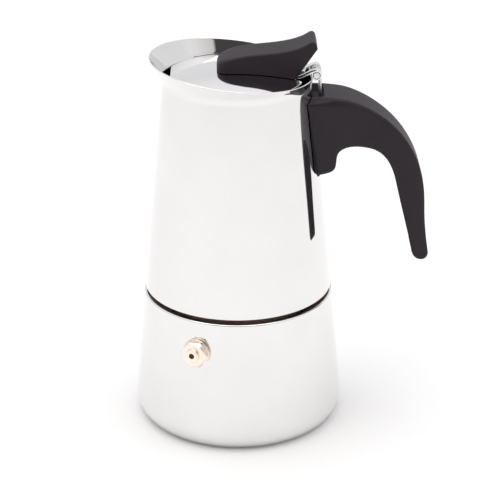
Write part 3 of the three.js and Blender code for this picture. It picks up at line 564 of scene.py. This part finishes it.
def makeFunnel():
    low, high = span("funnel_cup")
    top, bottom, edge = high[2], low[2], high[0]
    cup = {"outer": 33.2, "sheet": 0.7, "coneTop": top - 24, "coneFoot": top - 32, "spout": 5.2}
    inner = cup["outer"] - cup["sheet"]
    outline = softened([[edge, top - cup["sheet"]], [edge, top], [inner, top], [inner, cup["coneTop"]],
                        [cup["spout"] - cup["sheet"], cup["coneFoot"]], [cup["spout"] - cup["sheet"], bottom],
                        [cup["spout"], bottom], [cup["spout"], cup["coneFoot"] - cup["sheet"]],
                        [cup["outer"], cup["coneTop"] - cup["sheet"]], [cup["outer"], top - cup["sheet"]]],
                       [0.3, 0.3, 0.5, 2, 1, 0.2, 0.2, 1.4, 2.2, 0.3], 5)
    addPiece("funnelCup", [turned(outline, 144)], "funnel", ["funnel_cup"], satin, 40)
    low, high = span("funnel_stem")
    r, z0, z1 = high[0], low[2], high[2]
    # the tube ends square, with a rolled bead above its mouth
    outline = softened([[r - 0.7, z0], [r - 0.15, z0], [r - 0.15, z0 + 2.2], [r, z0 + 2.6], [r, z0 + 3.4],
                        [r - 0.15, z0 + 3.8], [r - 0.15, z1], [r - 0.7, z1]], 0.2)
    addPiece("funnelStem", [turned(outline, 64)], "funnel", ["funnel_stem"], satin)
    low, high = span("funnel_plate")
    s = sieves["plate"]
    sieve(high[0], s["pitch"], s["hole"], high[2], high[2] - low[2], "funnelPlate", "funnel", "funnel_plate",
          s["within"])


def makeFilterAndGasket():
    low, high = span("filter_screen")
    s = sieves["screen"]
    sieve(high[0], s["pitch"], s["hole"], high[2], high[2] - low[2], "filterScreen", "filter",
          "filter_screen", s["within"])
    low, high = span("gasket")
    outer, inner = high[0], high[0] - seal["width"]
    outline = softened([[outer, low[2]], [outer, high[2]], [inner, high[2]], [inner, low[2]]],
                       seal["round"], 8)
    addPiece("gasketRing", [turned(outline, 144)], "seal", ["gasket"], silicone, 60)


makeNeck()
makeThreadRing()
makeFunnel()
makeFilterAndGasket()
print("thread, funnel and filter made")

# ---- floor of the collector, its column and cap ----

column = {"foot": 13, "base": 8.4, "top": 5.2, "wall": 0.9, "floorHole": 7.5, "outlet": 1.7, "outletRise": 8}


def makeColumn():
    c = column
    low, high = span("collector_floor")
    lowR, highR = (collectorRadius(z) - collector["wall"] - clearance for z in (low[2], high[2]))
    outline = softened([[lowR, low[2]], [highR, high[2]], [c["floorHole"], high[2]],
                        [c["floorHole"], low[2]]], 0.25, 3)
    addPiece("collectorFloor", [turned(outline, 144)], "collector", ["collector_floor"], satin)
    low, high = span("column")
    z0, z1, base, top, wall = low[2], high[2], c["base"], c["top"], c["wall"]
    outline = softened([[c["foot"], z0], [c["foot"], z0 + 1], [base + 1.2, z0 + 1], [base, z0 + 3], [top, z1],
                        [top - wall, z1], [base - wall, z0 + 3], [base - wall, z0]],
                       [0.3, 0.4, 0.9, 1.6, 0.2, 0.2, 1, 0.2], 5)
    addPiece("column", [turned(outline, 96)], "collector", ["column"], satin)
    low, high = span("column_cap")
    outer, z0, z1 = high[0], low[2], high[2]
    inner = outer - wall
    outline = softened([[inner, z0], [outer, z0], [outer, z1 - 2.6], [outer - 2.2, z1 - 0.6], [0, z1],
                        [0, z1 - wall], [inner - 1.8, z1 - 1.6], [inner, z1 - 3.6]],
                       [0.2, 0.2, 1.6, 1.6, 0, 0, 1.2, 1.2], 6, False)
    cutter = bpy.data.meshes.new("outlet")
    t = np.linspace(0, 2 * np.pi, 40, endpoint=False)
    across, up = c["outlet"] * np.cos(t), z0 + c["outletRise"] + c["outlet"] * np.sin(t)
    ends = np.stack([np.stack([across, 0 * t + y, up], -1) for y in (-15, 15)])
    points, faces = capped(ends)
    cutter.from_pydata((points * mm).tolist(), [], faces)
    tool = bpy.data.objects.new("outlet", cutter)
    bpy.context.scene.collection.objects.link(tool)
    work = bmesh.new()
    work.from_mesh(cutter)
    bmesh.ops.recalc_face_normals(work, faces=work.faces)
    work.to_mesh(cutter)
    work.free()
    addPiece("columnCap", [turned(outline, 96)], "collector", ["column_cap"], satin, 35,
             [("BOOLEAN", {"operation": "DIFFERENCE", "object": tool, "solver": "EXACT"})])
    bpy.data.objects.remove(tool)


makeColumn()
print("column made")

# ---- lid, hinge and knob ----

lid = {"radius": 31.3, "offset": -1.3, "edge": neckZ + 2.8, "rise": 3.7, "sheet": 0.6, "halfTab": 6.6,
       "relief": 2.6, "reliefDepth": 3.2, "blunt": 3.0}


def domeHeight(away):
    # highest in the middle, falling with the square of the distance to nothing at the edge
    share = np.minimum(np.asarray(away, float) / lid["radius"], 1)
    return lid["edge"] + lid["rise"] * (1 - share ** 2)


def makeLid():
    d = lid
    r0, half = d["radius"], d["halfTab"]
    turns = [math.asin(v / r0) for v in (half, half + d["relief"])]
    fine = np.array([-0.012, -0.003, -0.0004, 0.0004, 0.003, 0.012])
    angle = np.sort(np.concatenate([np.linspace(0, 2 * np.pi, 240, endpoint=False)]
                                   + [s * v + fine for s in (1, -1) for v in turns]) % (2 * np.pi))
    y = np.abs(np.sin(angle)) * r0
    front = np.cos(angle) > 0
    edge = np.where(front & (y > half) & (y < half + d["relief"]), r0 - d["reliefDepth"], r0)
    edge = np.where(front & (y <= half), (hinge["x"] - 7.2 - d["offset"]) / np.cos(angle), edge)
    # over the spout the disc ends in a straight line
    edge = np.where(front, edge, np.minimum(edge, (r0 - d["blunt"]) / np.maximum(-np.cos(angle), 0.01)))
    # the sheet runs out under the edge's small roll and comes back beneath itself
    share = np.concatenate([np.linspace(0, 0.97, 40), np.linspace(0.975, 1, 6)])[:, None]
    thick = d["sheet"] / 2
    turn = np.linspace(0, np.pi, 9)[1:-1, None]
    r = share * (edge - thick)
    upper, lower = domeHeight(r), domeHeight(r) - d["sheet"]
    roll = edge - thick + thick * np.sin(turn), domeHeight(edge - thick) - thick + thick * np.cos(turn)
    rs, zs = np.concatenate([r, roll[0], r[::-1]]), np.concatenate([upper, roll[1], lower[::-1]])
    points = np.stack([d["offset"] + rs * np.cos(angle), rs * np.sin(angle), zs], -1)
    parts = [(points, gridFaces(len(rs), len(angle)))]
    # the tab climbs from the dome to the pin and curls round it in two knuckles
    x, z, inner, outer = hinge["x"], hinge["z"], hinge["inner"], hinge["outer"]
    start = x - 8.4
    t = np.radians(np.linspace(112, -215, 60))[:, None]
    ring = lambda radius: np.concatenate([x + radius * np.cos(t), z + radius * np.sin(t)], 1)
    edgeZ = float(domeHeight(start - d["offset"]))
    begin = math.radians(112)
    onRing = lambda radius: [x + radius * math.cos(begin), z + radius * math.sin(begin)]
    rise = bezier([start, edgeZ], ([start + 2.4, edgeZ + 0.1], [x - 4.2, z + 1.2], onRing(outer)), steps=16)
    back = bezier(onRing(inner), ([x - 3.6, z + 0.5], [start + 3, edgeZ - 0.5], [start, edgeZ - d["sheet"]]),
                  steps=16)
    outline = np.concatenate([rise, ring(outer)[1:], ring(inner)[::-1], back[1:]])
    middle, width = (hinge["halfWidth"] + hinge["halfSlot"]) / 2, (hinge["halfWidth"] - hinge["halfSlot"]) / 2
    for side in (-1, 1):
        knuckle = extruded(outline, width, 0.16, 3, 1)
        knuckle[..., 1] += side * middle
        parts.append(capped(knuckle))
    # between the knuckles the sheet stops short of the slot
    upto = rise[:, 0] < x - 4.4
    top, under = rise[upto], back[back[:, 0] < x - 4.4]
    bridge = np.concatenate([top, under])
    parts.append(capped(extruded(bridge, hinge["halfSlot"] + 0.3, 0.05, 1, 0)))
    addPiece("lidDome", parts, "lid", ["lid_plate"], steel, 40)


bracket = {"strapThick": 1.4, "strapFoot": 20.4, "plateHeight": 24.4, "plateThick": 2, "plateHalf": 5.5,
           "lugIn": 37, "lugOut": 43.6, "lugLow": 131.2, "lugHigh": 138.2, "lugHalf": 3.5}


def makeHinge():
    x, z, outer, inner = hinge["x"], hinge["z"], hinge["outer"], hinge["inner"]
    low, high = span("hinge_pin")
    r, half = (high[0] - low[0]) / 2, (high[1] - low[1]) / 2
    outline = softened([[0, -half], [r - 0.05, -half], [r - 0.05, half], [0, half]], 0.28, 5, False)
    points, faces = turned(outline, 48, False)
    points = np.stack([x + points[:, 0], points[:, 2], z + points[:, 1]], -1)
    addPiece("hingePin", [(points, faces)], "lid", ["hinge_pin"], machined)
    # the bracket's knuckle and strap: a ring round the pin that runs on down behind the neck
    b = bracket
    back, thick = x + outer, b["strapThick"]
    t = np.radians(np.linspace(0, 360, 56))[:, None]
    hole = np.concatenate([x + inner * np.cos(t), z + inner * np.sin(t)], 1)
    u = np.radians(np.linspace(0, 306, 48))[:, None]
    shell = np.concatenate([x + outer * np.cos(u), z + outer * np.sin(u)], 1)
    bottom = span("hinge_bracket")[0][2] + b["strapFoot"]
    outline = np.concatenate([shell, [[back - thick, z - outer * 0.62], [back - thick, bottom], [back, bottom]],
                              [[back, z]], hole[::-1]])
    strap = extruded(outline, hinge["halfMiddle"], 0.12, 2, 1)
    low = span("hinge_bracket")[0]
    zs = np.array([low[2], low[2] + b["plateHeight"]])
    face = collectorRadius(zs) + clearance
    out = face + b["plateThick"]
    plate = softened([[face[0], zs[0]], [out[0], zs[0]], [out[1], zs[1]], [face[1], zs[1]]], 0.3, 3)
    plate = extruded(plate, b["plateHalf"], 0.2, 3, 9)
    # the plate bends round the wall: x falls by y squared over twice the radius
    plate[..., 0] -= plate[..., 1] ** 2 / (2 * plate[..., 0])
    lug = softened([[b["lugIn"], b["lugLow"]], [b["lugOut"], b["lugLow"]], [b["lugOut"], b["lugHigh"]],
                    [b["lugIn"], b["lugHigh"]]], 0.4, 3)
    lug = extruded(lug, b["lugHalf"], 0.3, 3, 1)
    addPiece("hingeBracket", [capped(strap), capped(plate), capped(lug)], "collector", ["hinge_bracket"],
             machined)


knob = {"front": -9.0, "halfWidth": 8.9, "edge": 1.1, "corner": 5.0, "tipRise": 16.2, "saddleRise": 9.6}


def makeKnob():
    k = knob
    high = span("lid_knob")[1]
    front, rear, w = k["front"], high[0], k["halfWidth"]
    tip, saddle = hinge["z"] + k["tipRise"], hinge["z"] + k["saddleRise"]
    low = lid["edge"] - 3.6
    top = bezier([front, saddle - 5.4],
                 ([front + 0.4, saddle - 2.2], [front + 6, saddle - 1], [front + 13, saddle + 0.3]),
                 ([front + 24, saddle + 1.4], [rear - 10, saddle + 1.6], [rear - 3.6, tip - 0.7]),
                 ([rear - 2, tip + 0.4], [rear - 0.7, tip - 0.3], [rear - 0.4, tip - 2]), steps=26)
    outline = np.concatenate([top, line([rear - 0.4, tip - 2], [rear, tip - 3.6], 3),
                              line([rear, tip - 3.6], [rear - 8.6, hinge["z"] + 0.2], 24),
                              line([rear - 8.6, hinge["z"] + 0.2], [rear - 11.5, low], 14),
                              line([rear - 11.5, low], [front, low], 60),
                              line([front, low], [front, saddle - 5.4], 20)[:-1]])
    # rows lie close together across the rounded front corners
    t = np.linspace(0, np.pi / 2, 8)
    ys = np.concatenate([-w + k["edge"] * (1 - np.cos(t)), np.linspace(-w + 1.3, -3.9, 12)])
    ys = np.concatenate([ys, [-2, 0, 2], -ys[::-1]])
    inset = np.where(np.abs(ys) > w - k["edge"],
                     k["edge"] - np.sqrt(np.maximum(k["edge"] ** 2 - (np.abs(ys) - w + k["edge"]) ** 2, 0)), 0)
    flat = outline[None] - inset[:, None, None] * outwardNormals(outline)[None]
    x, z = flat[..., 0], flat[..., 1]
    y = np.broadcast_to(ys[:, None], x.shape)
    # plan of the front: a quarter circle draws the nose back near each side, dying out along the knob
    over = np.maximum(np.abs(y) - (w - k["corner"]), 0)
    drawn = k["corner"] - np.sqrt(np.maximum(k["corner"] ** 2 - over ** 2, 0))
    x = x + drawn * np.clip(1 - (x - front) / 12, 0, 1) ** 1.5
    # underneath it follows the dome, and clears the lid's tab
    seat = domeHeight(np.hypot(x - lid["offset"], y)) + clearance
    seat = np.where(x > hinge["x"] - 8.6, np.maximum(seat, domeHeight(24) + 1.1), seat)
    z = np.maximum(z, seat)
    addPiece("lidKnob", [capped(np.stack([x, y, z], -1))], "lid", ["lid_knob"], plastic, 46)


makeLid()
makeHinge()
makeKnob()
print("lid made")

# ---- handle ----

handle = {"mounting": 37.4, "length": 80.2, "thick": 7.6, "halfTop": 11.2, "halfTip": 7.6, "edge": 2.0,
          "pocketHalf": 8.4, "pocketDeep": 2.6, "flare": 4.3, "embed": 4.4, "seatRise": 5.4, "screwOut": 3.7}


def makeHandle():
    d = handle
    high = span("handle")[1]
    top, reach = high[2], high[0]
    root, bottom, tip = collector["neck"] - d["embed"], top - d["mounting"], top - d["length"]
    seat = bottom + d["seatRise"]
    screwX = float(collectorRadius(seat)) + d["screwOut"]
    out = lambda share: root + (reach - root) * share
    down = lambda share: top - d["length"] * share
    upper = bezier(
        [root, top - 0.2],
        ([out(0.156), top], [out(0.26), top], [out(0.369), down(0.025)]),
        ([out(0.536), down(0.067)], [out(0.701), down(0.157)], [out(0.799), down(0.262)]),
        ([out(0.917), down(0.387)], [out(0.955), down(0.511)], [out(0.96), down(0.673)]),
        ([out(0.965), down(0.786)], [reach - 0.9, down(0.873)], [reach, tip + 4.4]),
        ([reach + 0.4, tip + 0.9], [reach - 2.4, tip - 0.2], [reach - 4.6, tip + 0.7]),
        ([reach - 6.6, tip + 1.6], [reach - d["thick"] + 0.1, tip + 3.6], [reach - d["thick"] - 0.2, tip + 6]),
        ([out(0.841), down(0.838)], [out(0.775), down(0.663)], [out(0.73), down(0.519)]),
        ([out(0.699), down(0.421)], [out(0.647), down(0.332)], [out(0.519), down(0.307)]),
        ([out(0.433), down(0.289)], [out(0.332), down(0.287)], [screwX + 4.8, seat + 6]),
        ([screwX + 2.6, seat + 3.4], [screwX + 4.4, seat - 1.2], [screwX + 2, seat - 3]),
        ([screwX, seat - 4.4], [root + 8.4, bottom + 0.5], [root + 2, bottom]), steps=28)
    outline = np.concatenate([upper, line([root + 2, bottom], [root, bottom], 4),
                              line([root, bottom], [root, top - 0.2], 60)[:-1]])
    outline[:, 1] = np.minimum(outline[:, 1], top)
    full, edge = d["halfTop"], d["edge"]
    t = np.linspace(0, np.pi / 2, 9)
    side = -full + edge * (1 - np.cos(t))
    pocket = -d["pocketHalf"] + np.array([-0.3, -0.06, 0.06, 0.3])
    ys = np.concatenate([side, pocket, [-6, -4, -2, 0, 2, 4, 6], -pocket[::-1], -side[::-1]])
    inset = np.where(np.abs(ys) > full - edge,
                     edge - np.sqrt(np.maximum(edge ** 2 - (np.abs(ys) - full + edge) ** 2, 0)), 0)
    flat = outline[None] - inset[:, None, None] * outwardNormals(outline)[None]
    x, z = flat[..., 0], flat[..., 1]
    # the bar grows slimmer with the distance out and down
    along = np.clip((x - screwX - 7.4) / 60 + (top - z) / 130, 0, 1)
    # near the wall it flares out on both sides, down to a little above its foot
    near = np.clip(1 - (x - root) / (screwX + 1.5 - root), 0, 1)
    near = near * np.clip((z - bottom - 2.6) / 1.5, 0, 1) * np.clip((top - 0.8 - z) / 0.8, 0.35, 1)
    y = ys[:, None] * (full + (d["halfTip"] - full) * along + d["flare"] * near) / full
    # the mounting face wraps round the vessel's wall, one gap clear of it
    wall = np.sqrt(np.maximum((collectorRadius(np.minimum(z, neckZ + 2)) + clearance) ** 2 - y ** 2, 0))
    x = np.minimum(np.maximum(x, wall), reach)
    # a pocket in the top clears the hinge
    inPocket = (np.abs(y) < d["pocketHalf"]) & (x < hinge["x"] + hinge["outer"] + 1)
    z = np.where(inPocket, np.minimum(z, top - d["pocketDeep"]), z)
    addPiece("handleGrip", [capped(np.stack([x, y, z], -1))], "collector", ["handle"],
             plastic, 46)


makeHandle()
print("handle made")

# ---- safety valve, worked out along +Z and laid on the boiler's wall ----

valve = {"azimuth": -114.5, "below": 14.4, "flange": 6.5, "flangeThick": 1.3, "hexAcross": 11.4,
         "hexHeight": 2.7, "boss": 3.1, "bossHeight": 1.5, "shank": 4.4, "shankLength": 7.2, "bore": 2.5,
         "mouth": 1.25, "gap": 0.3, "seat": 1.1, "lip": 0.28}
valveLean, valveTurn = math.atan(boilerTaper), math.radians(valve["azimuth"])
valveOut = np.array([math.cos(valveLean) * math.cos(valveTurn), math.cos(valveLean) * math.sin(valveTurn),
                     math.sin(valveLean)])
valveDown = np.array([math.sin(valveLean) * math.cos(valveTurn), math.sin(valveLean) * math.sin(valveTurn),
                      -math.cos(valveLean)])
valveAcross = np.array([-math.sin(valveTurn), math.cos(valveTurn), 0])
valveZ = boiler["height"] - valve["below"]
valveAway = boilerRadius(valveZ)
valveFoot = np.array([valveAway * math.cos(valveTurn), valveAway * math.sin(valveTurn), valveZ])


def onValve(points):
    p = np.asarray(points, float).reshape(-1, 3)
    return valveFoot + p[:, :1] * valveDown + p[:, 1:2] * valveAcross + p[:, 2:] * valveOut


def makeValve():
    v = valve
    face = v["gap"] + v["flangeThick"]
    top = face + v["hexHeight"]
    angle = np.sort(np.concatenate([np.linspace(0, 2 * np.pi, 72, endpoint=False)]
                                   + [np.pi / 6 + k * np.pi / 3 + np.array([-0.02, 0.02]) for k in range(6)]))
    # hexagon radius: half the distance across flats over the cosine of the angle from the nearest flat's middle
    hexagon = v["hexAcross"] / 2 / np.cos(np.mod(angle + np.pi / 6, np.pi / 3) - np.pi / 6)
    flats = np.minimum(hexagon, v["hexAcross"] / 2 / math.cos(math.pi / 6) - 0.16)
    rim, mouth, end = v["flange"], v["mouth"] + 0.6, top + v["bossHeight"]
    # the bore runs right through: seat, spring chamber, retainer's recess, and a lip staked over the retainer
    before = softened([[v["bore"], 1 - v["shankLength"]], [v["seat"], 1 - v["shankLength"]],
                       [v["seat"], -v["shankLength"]], [v["shank"], -v["shankLength"]], [v["shank"], 0.1],
                       [rim, v["gap"]], [rim, face], [rim - 0.9, face + 0.02]],
                      [0.1, 0.1, 0.15, 0.5, 0.1, 0.4, 0.5, 0.05], 4, False)
    # the hexagon's chamfer is a cone, so each row takes the smaller of the two radii
    rise = np.linspace(face + 0.02, top, 22)
    cone = np.where(rise < top - 1.3, 99, v["hexAcross"] / 2 - 0.35 + (top - rise) * 0.95)
    prism = np.minimum(flats[None], cone[:, None])
    foot = flats[None] - 0.25
    after = softened([[v["boss"] + 1.2, top], [v["boss"], top + 0.05], [v["boss"], end], [v["mouth"], end],
                      [v["mouth"], end - v["lip"]], [mouth, end - v["lip"]], [mouth, top - 0.2],
                      [v["bore"], top - 0.2]], [0.3, 0.2, 0.6, 0.12, 0.1, 0.02, 0.1, 0.1], 4, False)
    spread = lambda part: (np.broadcast_to(part[:, :1], (len(part), len(angle))),
                           np.broadcast_to(part[:, 1:], (len(part), len(angle))))
    (r0, z0), (r2, z2) = spread(before), spread(after)
    z1 = np.broadcast_to(rise[:, None], prism.shape)
    r = np.concatenate([r0, foot, prism, r2])
    z = np.concatenate([z0, np.full(foot.shape, face + 0.02), z1, z2])
    points = np.stack([r * np.cos(angle), r * np.sin(angle), z], -1)
    faces = gridFaces(len(r), len(angle), wrapRows=True)
    addPiece("valveBody", [(onValve(points), faces)], "boiler", ["valve_body"], brass, 25)
    seatZ, stem = -v["shankLength"] + 1, v["mouth"] - 0.55
    outline = softened([[0, seatZ + 0.1], [v["bore"] - 0.2, seatZ + 0.1], [v["bore"] - 0.2, seatZ + 1.1],
                        [stem, seatZ + 1.4], [stem, end - 0.6], [0, end - 0.6]],
                       [0, 0.2, 0.2, 0.3, 0.2, 0], 4, False)
    points, faces = turned(outline, 40, False)
    addPiece("valvePin", [(onValve(points), faces)], "valve_pin", ["valve_poppet"], tarnish)


def makeSpring():
    # a circle carried up a helix: centre line (a cos t, a sin t, rising with t)
    s = {"wire": 0.4, "turns": 4, "radius": 1.75, "low": -valve["shankLength"] + 2.9,
         "high": valve["gap"] + valve["flangeThick"] + valve["hexHeight"] - 0.5}
    t = np.linspace(0, 2 * np.pi * s["turns"], 241)
    rise = (s["high"] - s["low"]) * t / t[-1] + s["low"]
    out = np.stack([np.cos(t), np.sin(t), 0 * t], -1)
    centre = out * s["radius"] + np.stack([0 * t, 0 * t, rise], -1)
    u = np.linspace(0, 2 * np.pi, 12, endpoint=False)[None, :, None]
    rings = centre[:, None] + s["wire"] / 2 * (np.cos(u) * out[:, None] + np.sin(u) * np.array([0, 0, 1.0]))
    points, faces = capped(rings)
    coil = addPiece("valveSpring", [(onValve(points), faces)], "boiler", ["valve_spring"], wire)
    keep = 1 - 1.2 / (s["high"] - s["low"] + 0.2)
    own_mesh(coil)


makeValve()
makeSpring()
print("valve made")

# ---- CAD nodes that stay as they are ----
kept = {"valve_retainer": tarnish, "valve_nut": brass, "valve_washer": silicone, "handle_screw": machined,
        "knob_screw_front": machined, "knob_screw_rear": machined}
for node, look in kept.items():
    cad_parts[node].data.materials.clear()
    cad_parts[node].data.materials.append(look)

# ---- floor, light and camera ----
studio = {"floorColour": rgb(0.935, 0.93, 0.92), "floorShade": rgb(0.925, 0.92, 0.91), "low": 0.84, "high": 1.2,
          "tint": (0.99, 0.987, 1.01), "warm": (1.02, 0.985, 0.95), "floorHalf": 30.0,
          "key": 13.5, "keySize": (1.8, 1.4), "keyPlace": (-0.1, -0.3, 1.7), "patchDark": 0.9,
          "patchSide": (0.62, 0.7), "patchLow": (0.36, 0.42), "patchHigh": (0.8, 0.9), "haloDark": 0.4,
          "haloSide": (0.6, 1.35), "haloLow": (0.42, 0.5), "overhead": (0.45, 0.85)}


def makeFloor():
    mesh = bpy.data.meshes.new("floor")
    size = studio["floorHalf"]
    corners = [(-size, -size, 0), (size, -size, 0), (size, size, 0), (-size, size, 0)]
    mesh.from_pydata(corners, [], [(0, 1, 2, 3)])
    floor = bpy.data.objects.new("floor", mesh)
    floor.location.z = -0.00002
    bpy.context.scene.collection.objects.link(floor)
    look = Look("paper")
    cloud = look.noise(3, 2, 0.5)
    mesh.materials.append(look.set({
        "Base Color": look.mix(cloud * 0.2, studio["floorColour"], studio["floorShade"]),
        "Roughness": 0.9, "Specular IOR Level": 0.1}))


def makeLight():
    # a pale dome that is brighter overhead, with a dark patch in front and a warm, dimmer halo round it
    world = bpy.data.worlds.new("studio")
    bpy.context.scene.world = world
    world.use_nodes = True
    tree = world.node_tree
    sky = Look.__new__(Look)
    sky.tree = tree
    here = sky.node("ShaderNodeTexCoord", output="Generated")
    parts = sky.node("ShaderNodeSeparateXYZ", {}, {"Vector": here})
    x, y, z = (Wire(sky, output) for output in parts.socket.node.outputs)
    overhead = sky.clamp(z, *studio["overhead"])
    aside = sky.maths("ABSOLUTE", sky.maths("ARCTAN2", x, 0 - y))
    patch = (1 - sky.clamp(aside, *studio["patchSide"])) * sky.clamp(z, *studio["patchLow"]) * (
        1 - sky.clamp(z, *studio["patchHigh"]))
    halo = (1 - sky.clamp(aside, *studio["haloSide"])) * sky.clamp(z, *studio["haloLow"])
    strength = (studio["low"] + overhead * (studio["high"] - studio["low"])) * (
        1 - patch * studio["patchDark"]) * (1 - halo * studio["haloDark"])
    back = tree.nodes["Background"]
    sky.plug(back.inputs["Color"], sky.mix(halo, (*studio["tint"], 1), (*studio["warm"], 1)))
    sky.plug(back.inputs["Strength"], strength)
    lamp = bpy.data.lights.new("softbox", "AREA")
    lamp.shape, lamp.energy = "RECTANGLE", studio["key"]
    lamp.size, lamp.size_y = studio["keySize"]
    box = bpy.data.objects.new("softbox", lamp)
    box.location = studio["keyPlace"]
    box.rotation_euler = (Vector((0, 0, 0.08)) - box.location).to_track_quat("-Z", "Y").to_euler()
    bpy.context.scene.collection.objects.link(box)


def makeCamera():
    view = {"from": (0, -0.7676, 0.42568), "to": (0.00096, 0, 0.08455), "lens": 137.07, "roll": -0.004}
    lens = bpy.data.cameras.new("camera")
    lens.sensor_width, lens.lens = 36, view["lens"]
    lens.clip_start, lens.clip_end = 0.05, 60
    camera = bpy.data.objects.new("camera", lens)
    bpy.context.scene.collection.objects.link(camera)
    ahead = (Vector(view["to"]) - Vector(view["from"])).normalized()
    right = ahead.cross(Vector((0, 0, 1))).normalized()
    up = right.cross(ahead)
    c, s = math.cos(view["roll"]), math.sin(view["roll"])
    facing = Matrix((c * right + s * up, -s * right + c * up, -ahead)).transposed()
    camera.matrix_world = Matrix.Translation(view["from"]) @ facing.to_4x4()
    bpy.context.scene.camera = camera


makeFloor()
makeLight()
makeCamera()
bpy.context.scene.view_settings.view_transform = "Standard"
print("studio made")
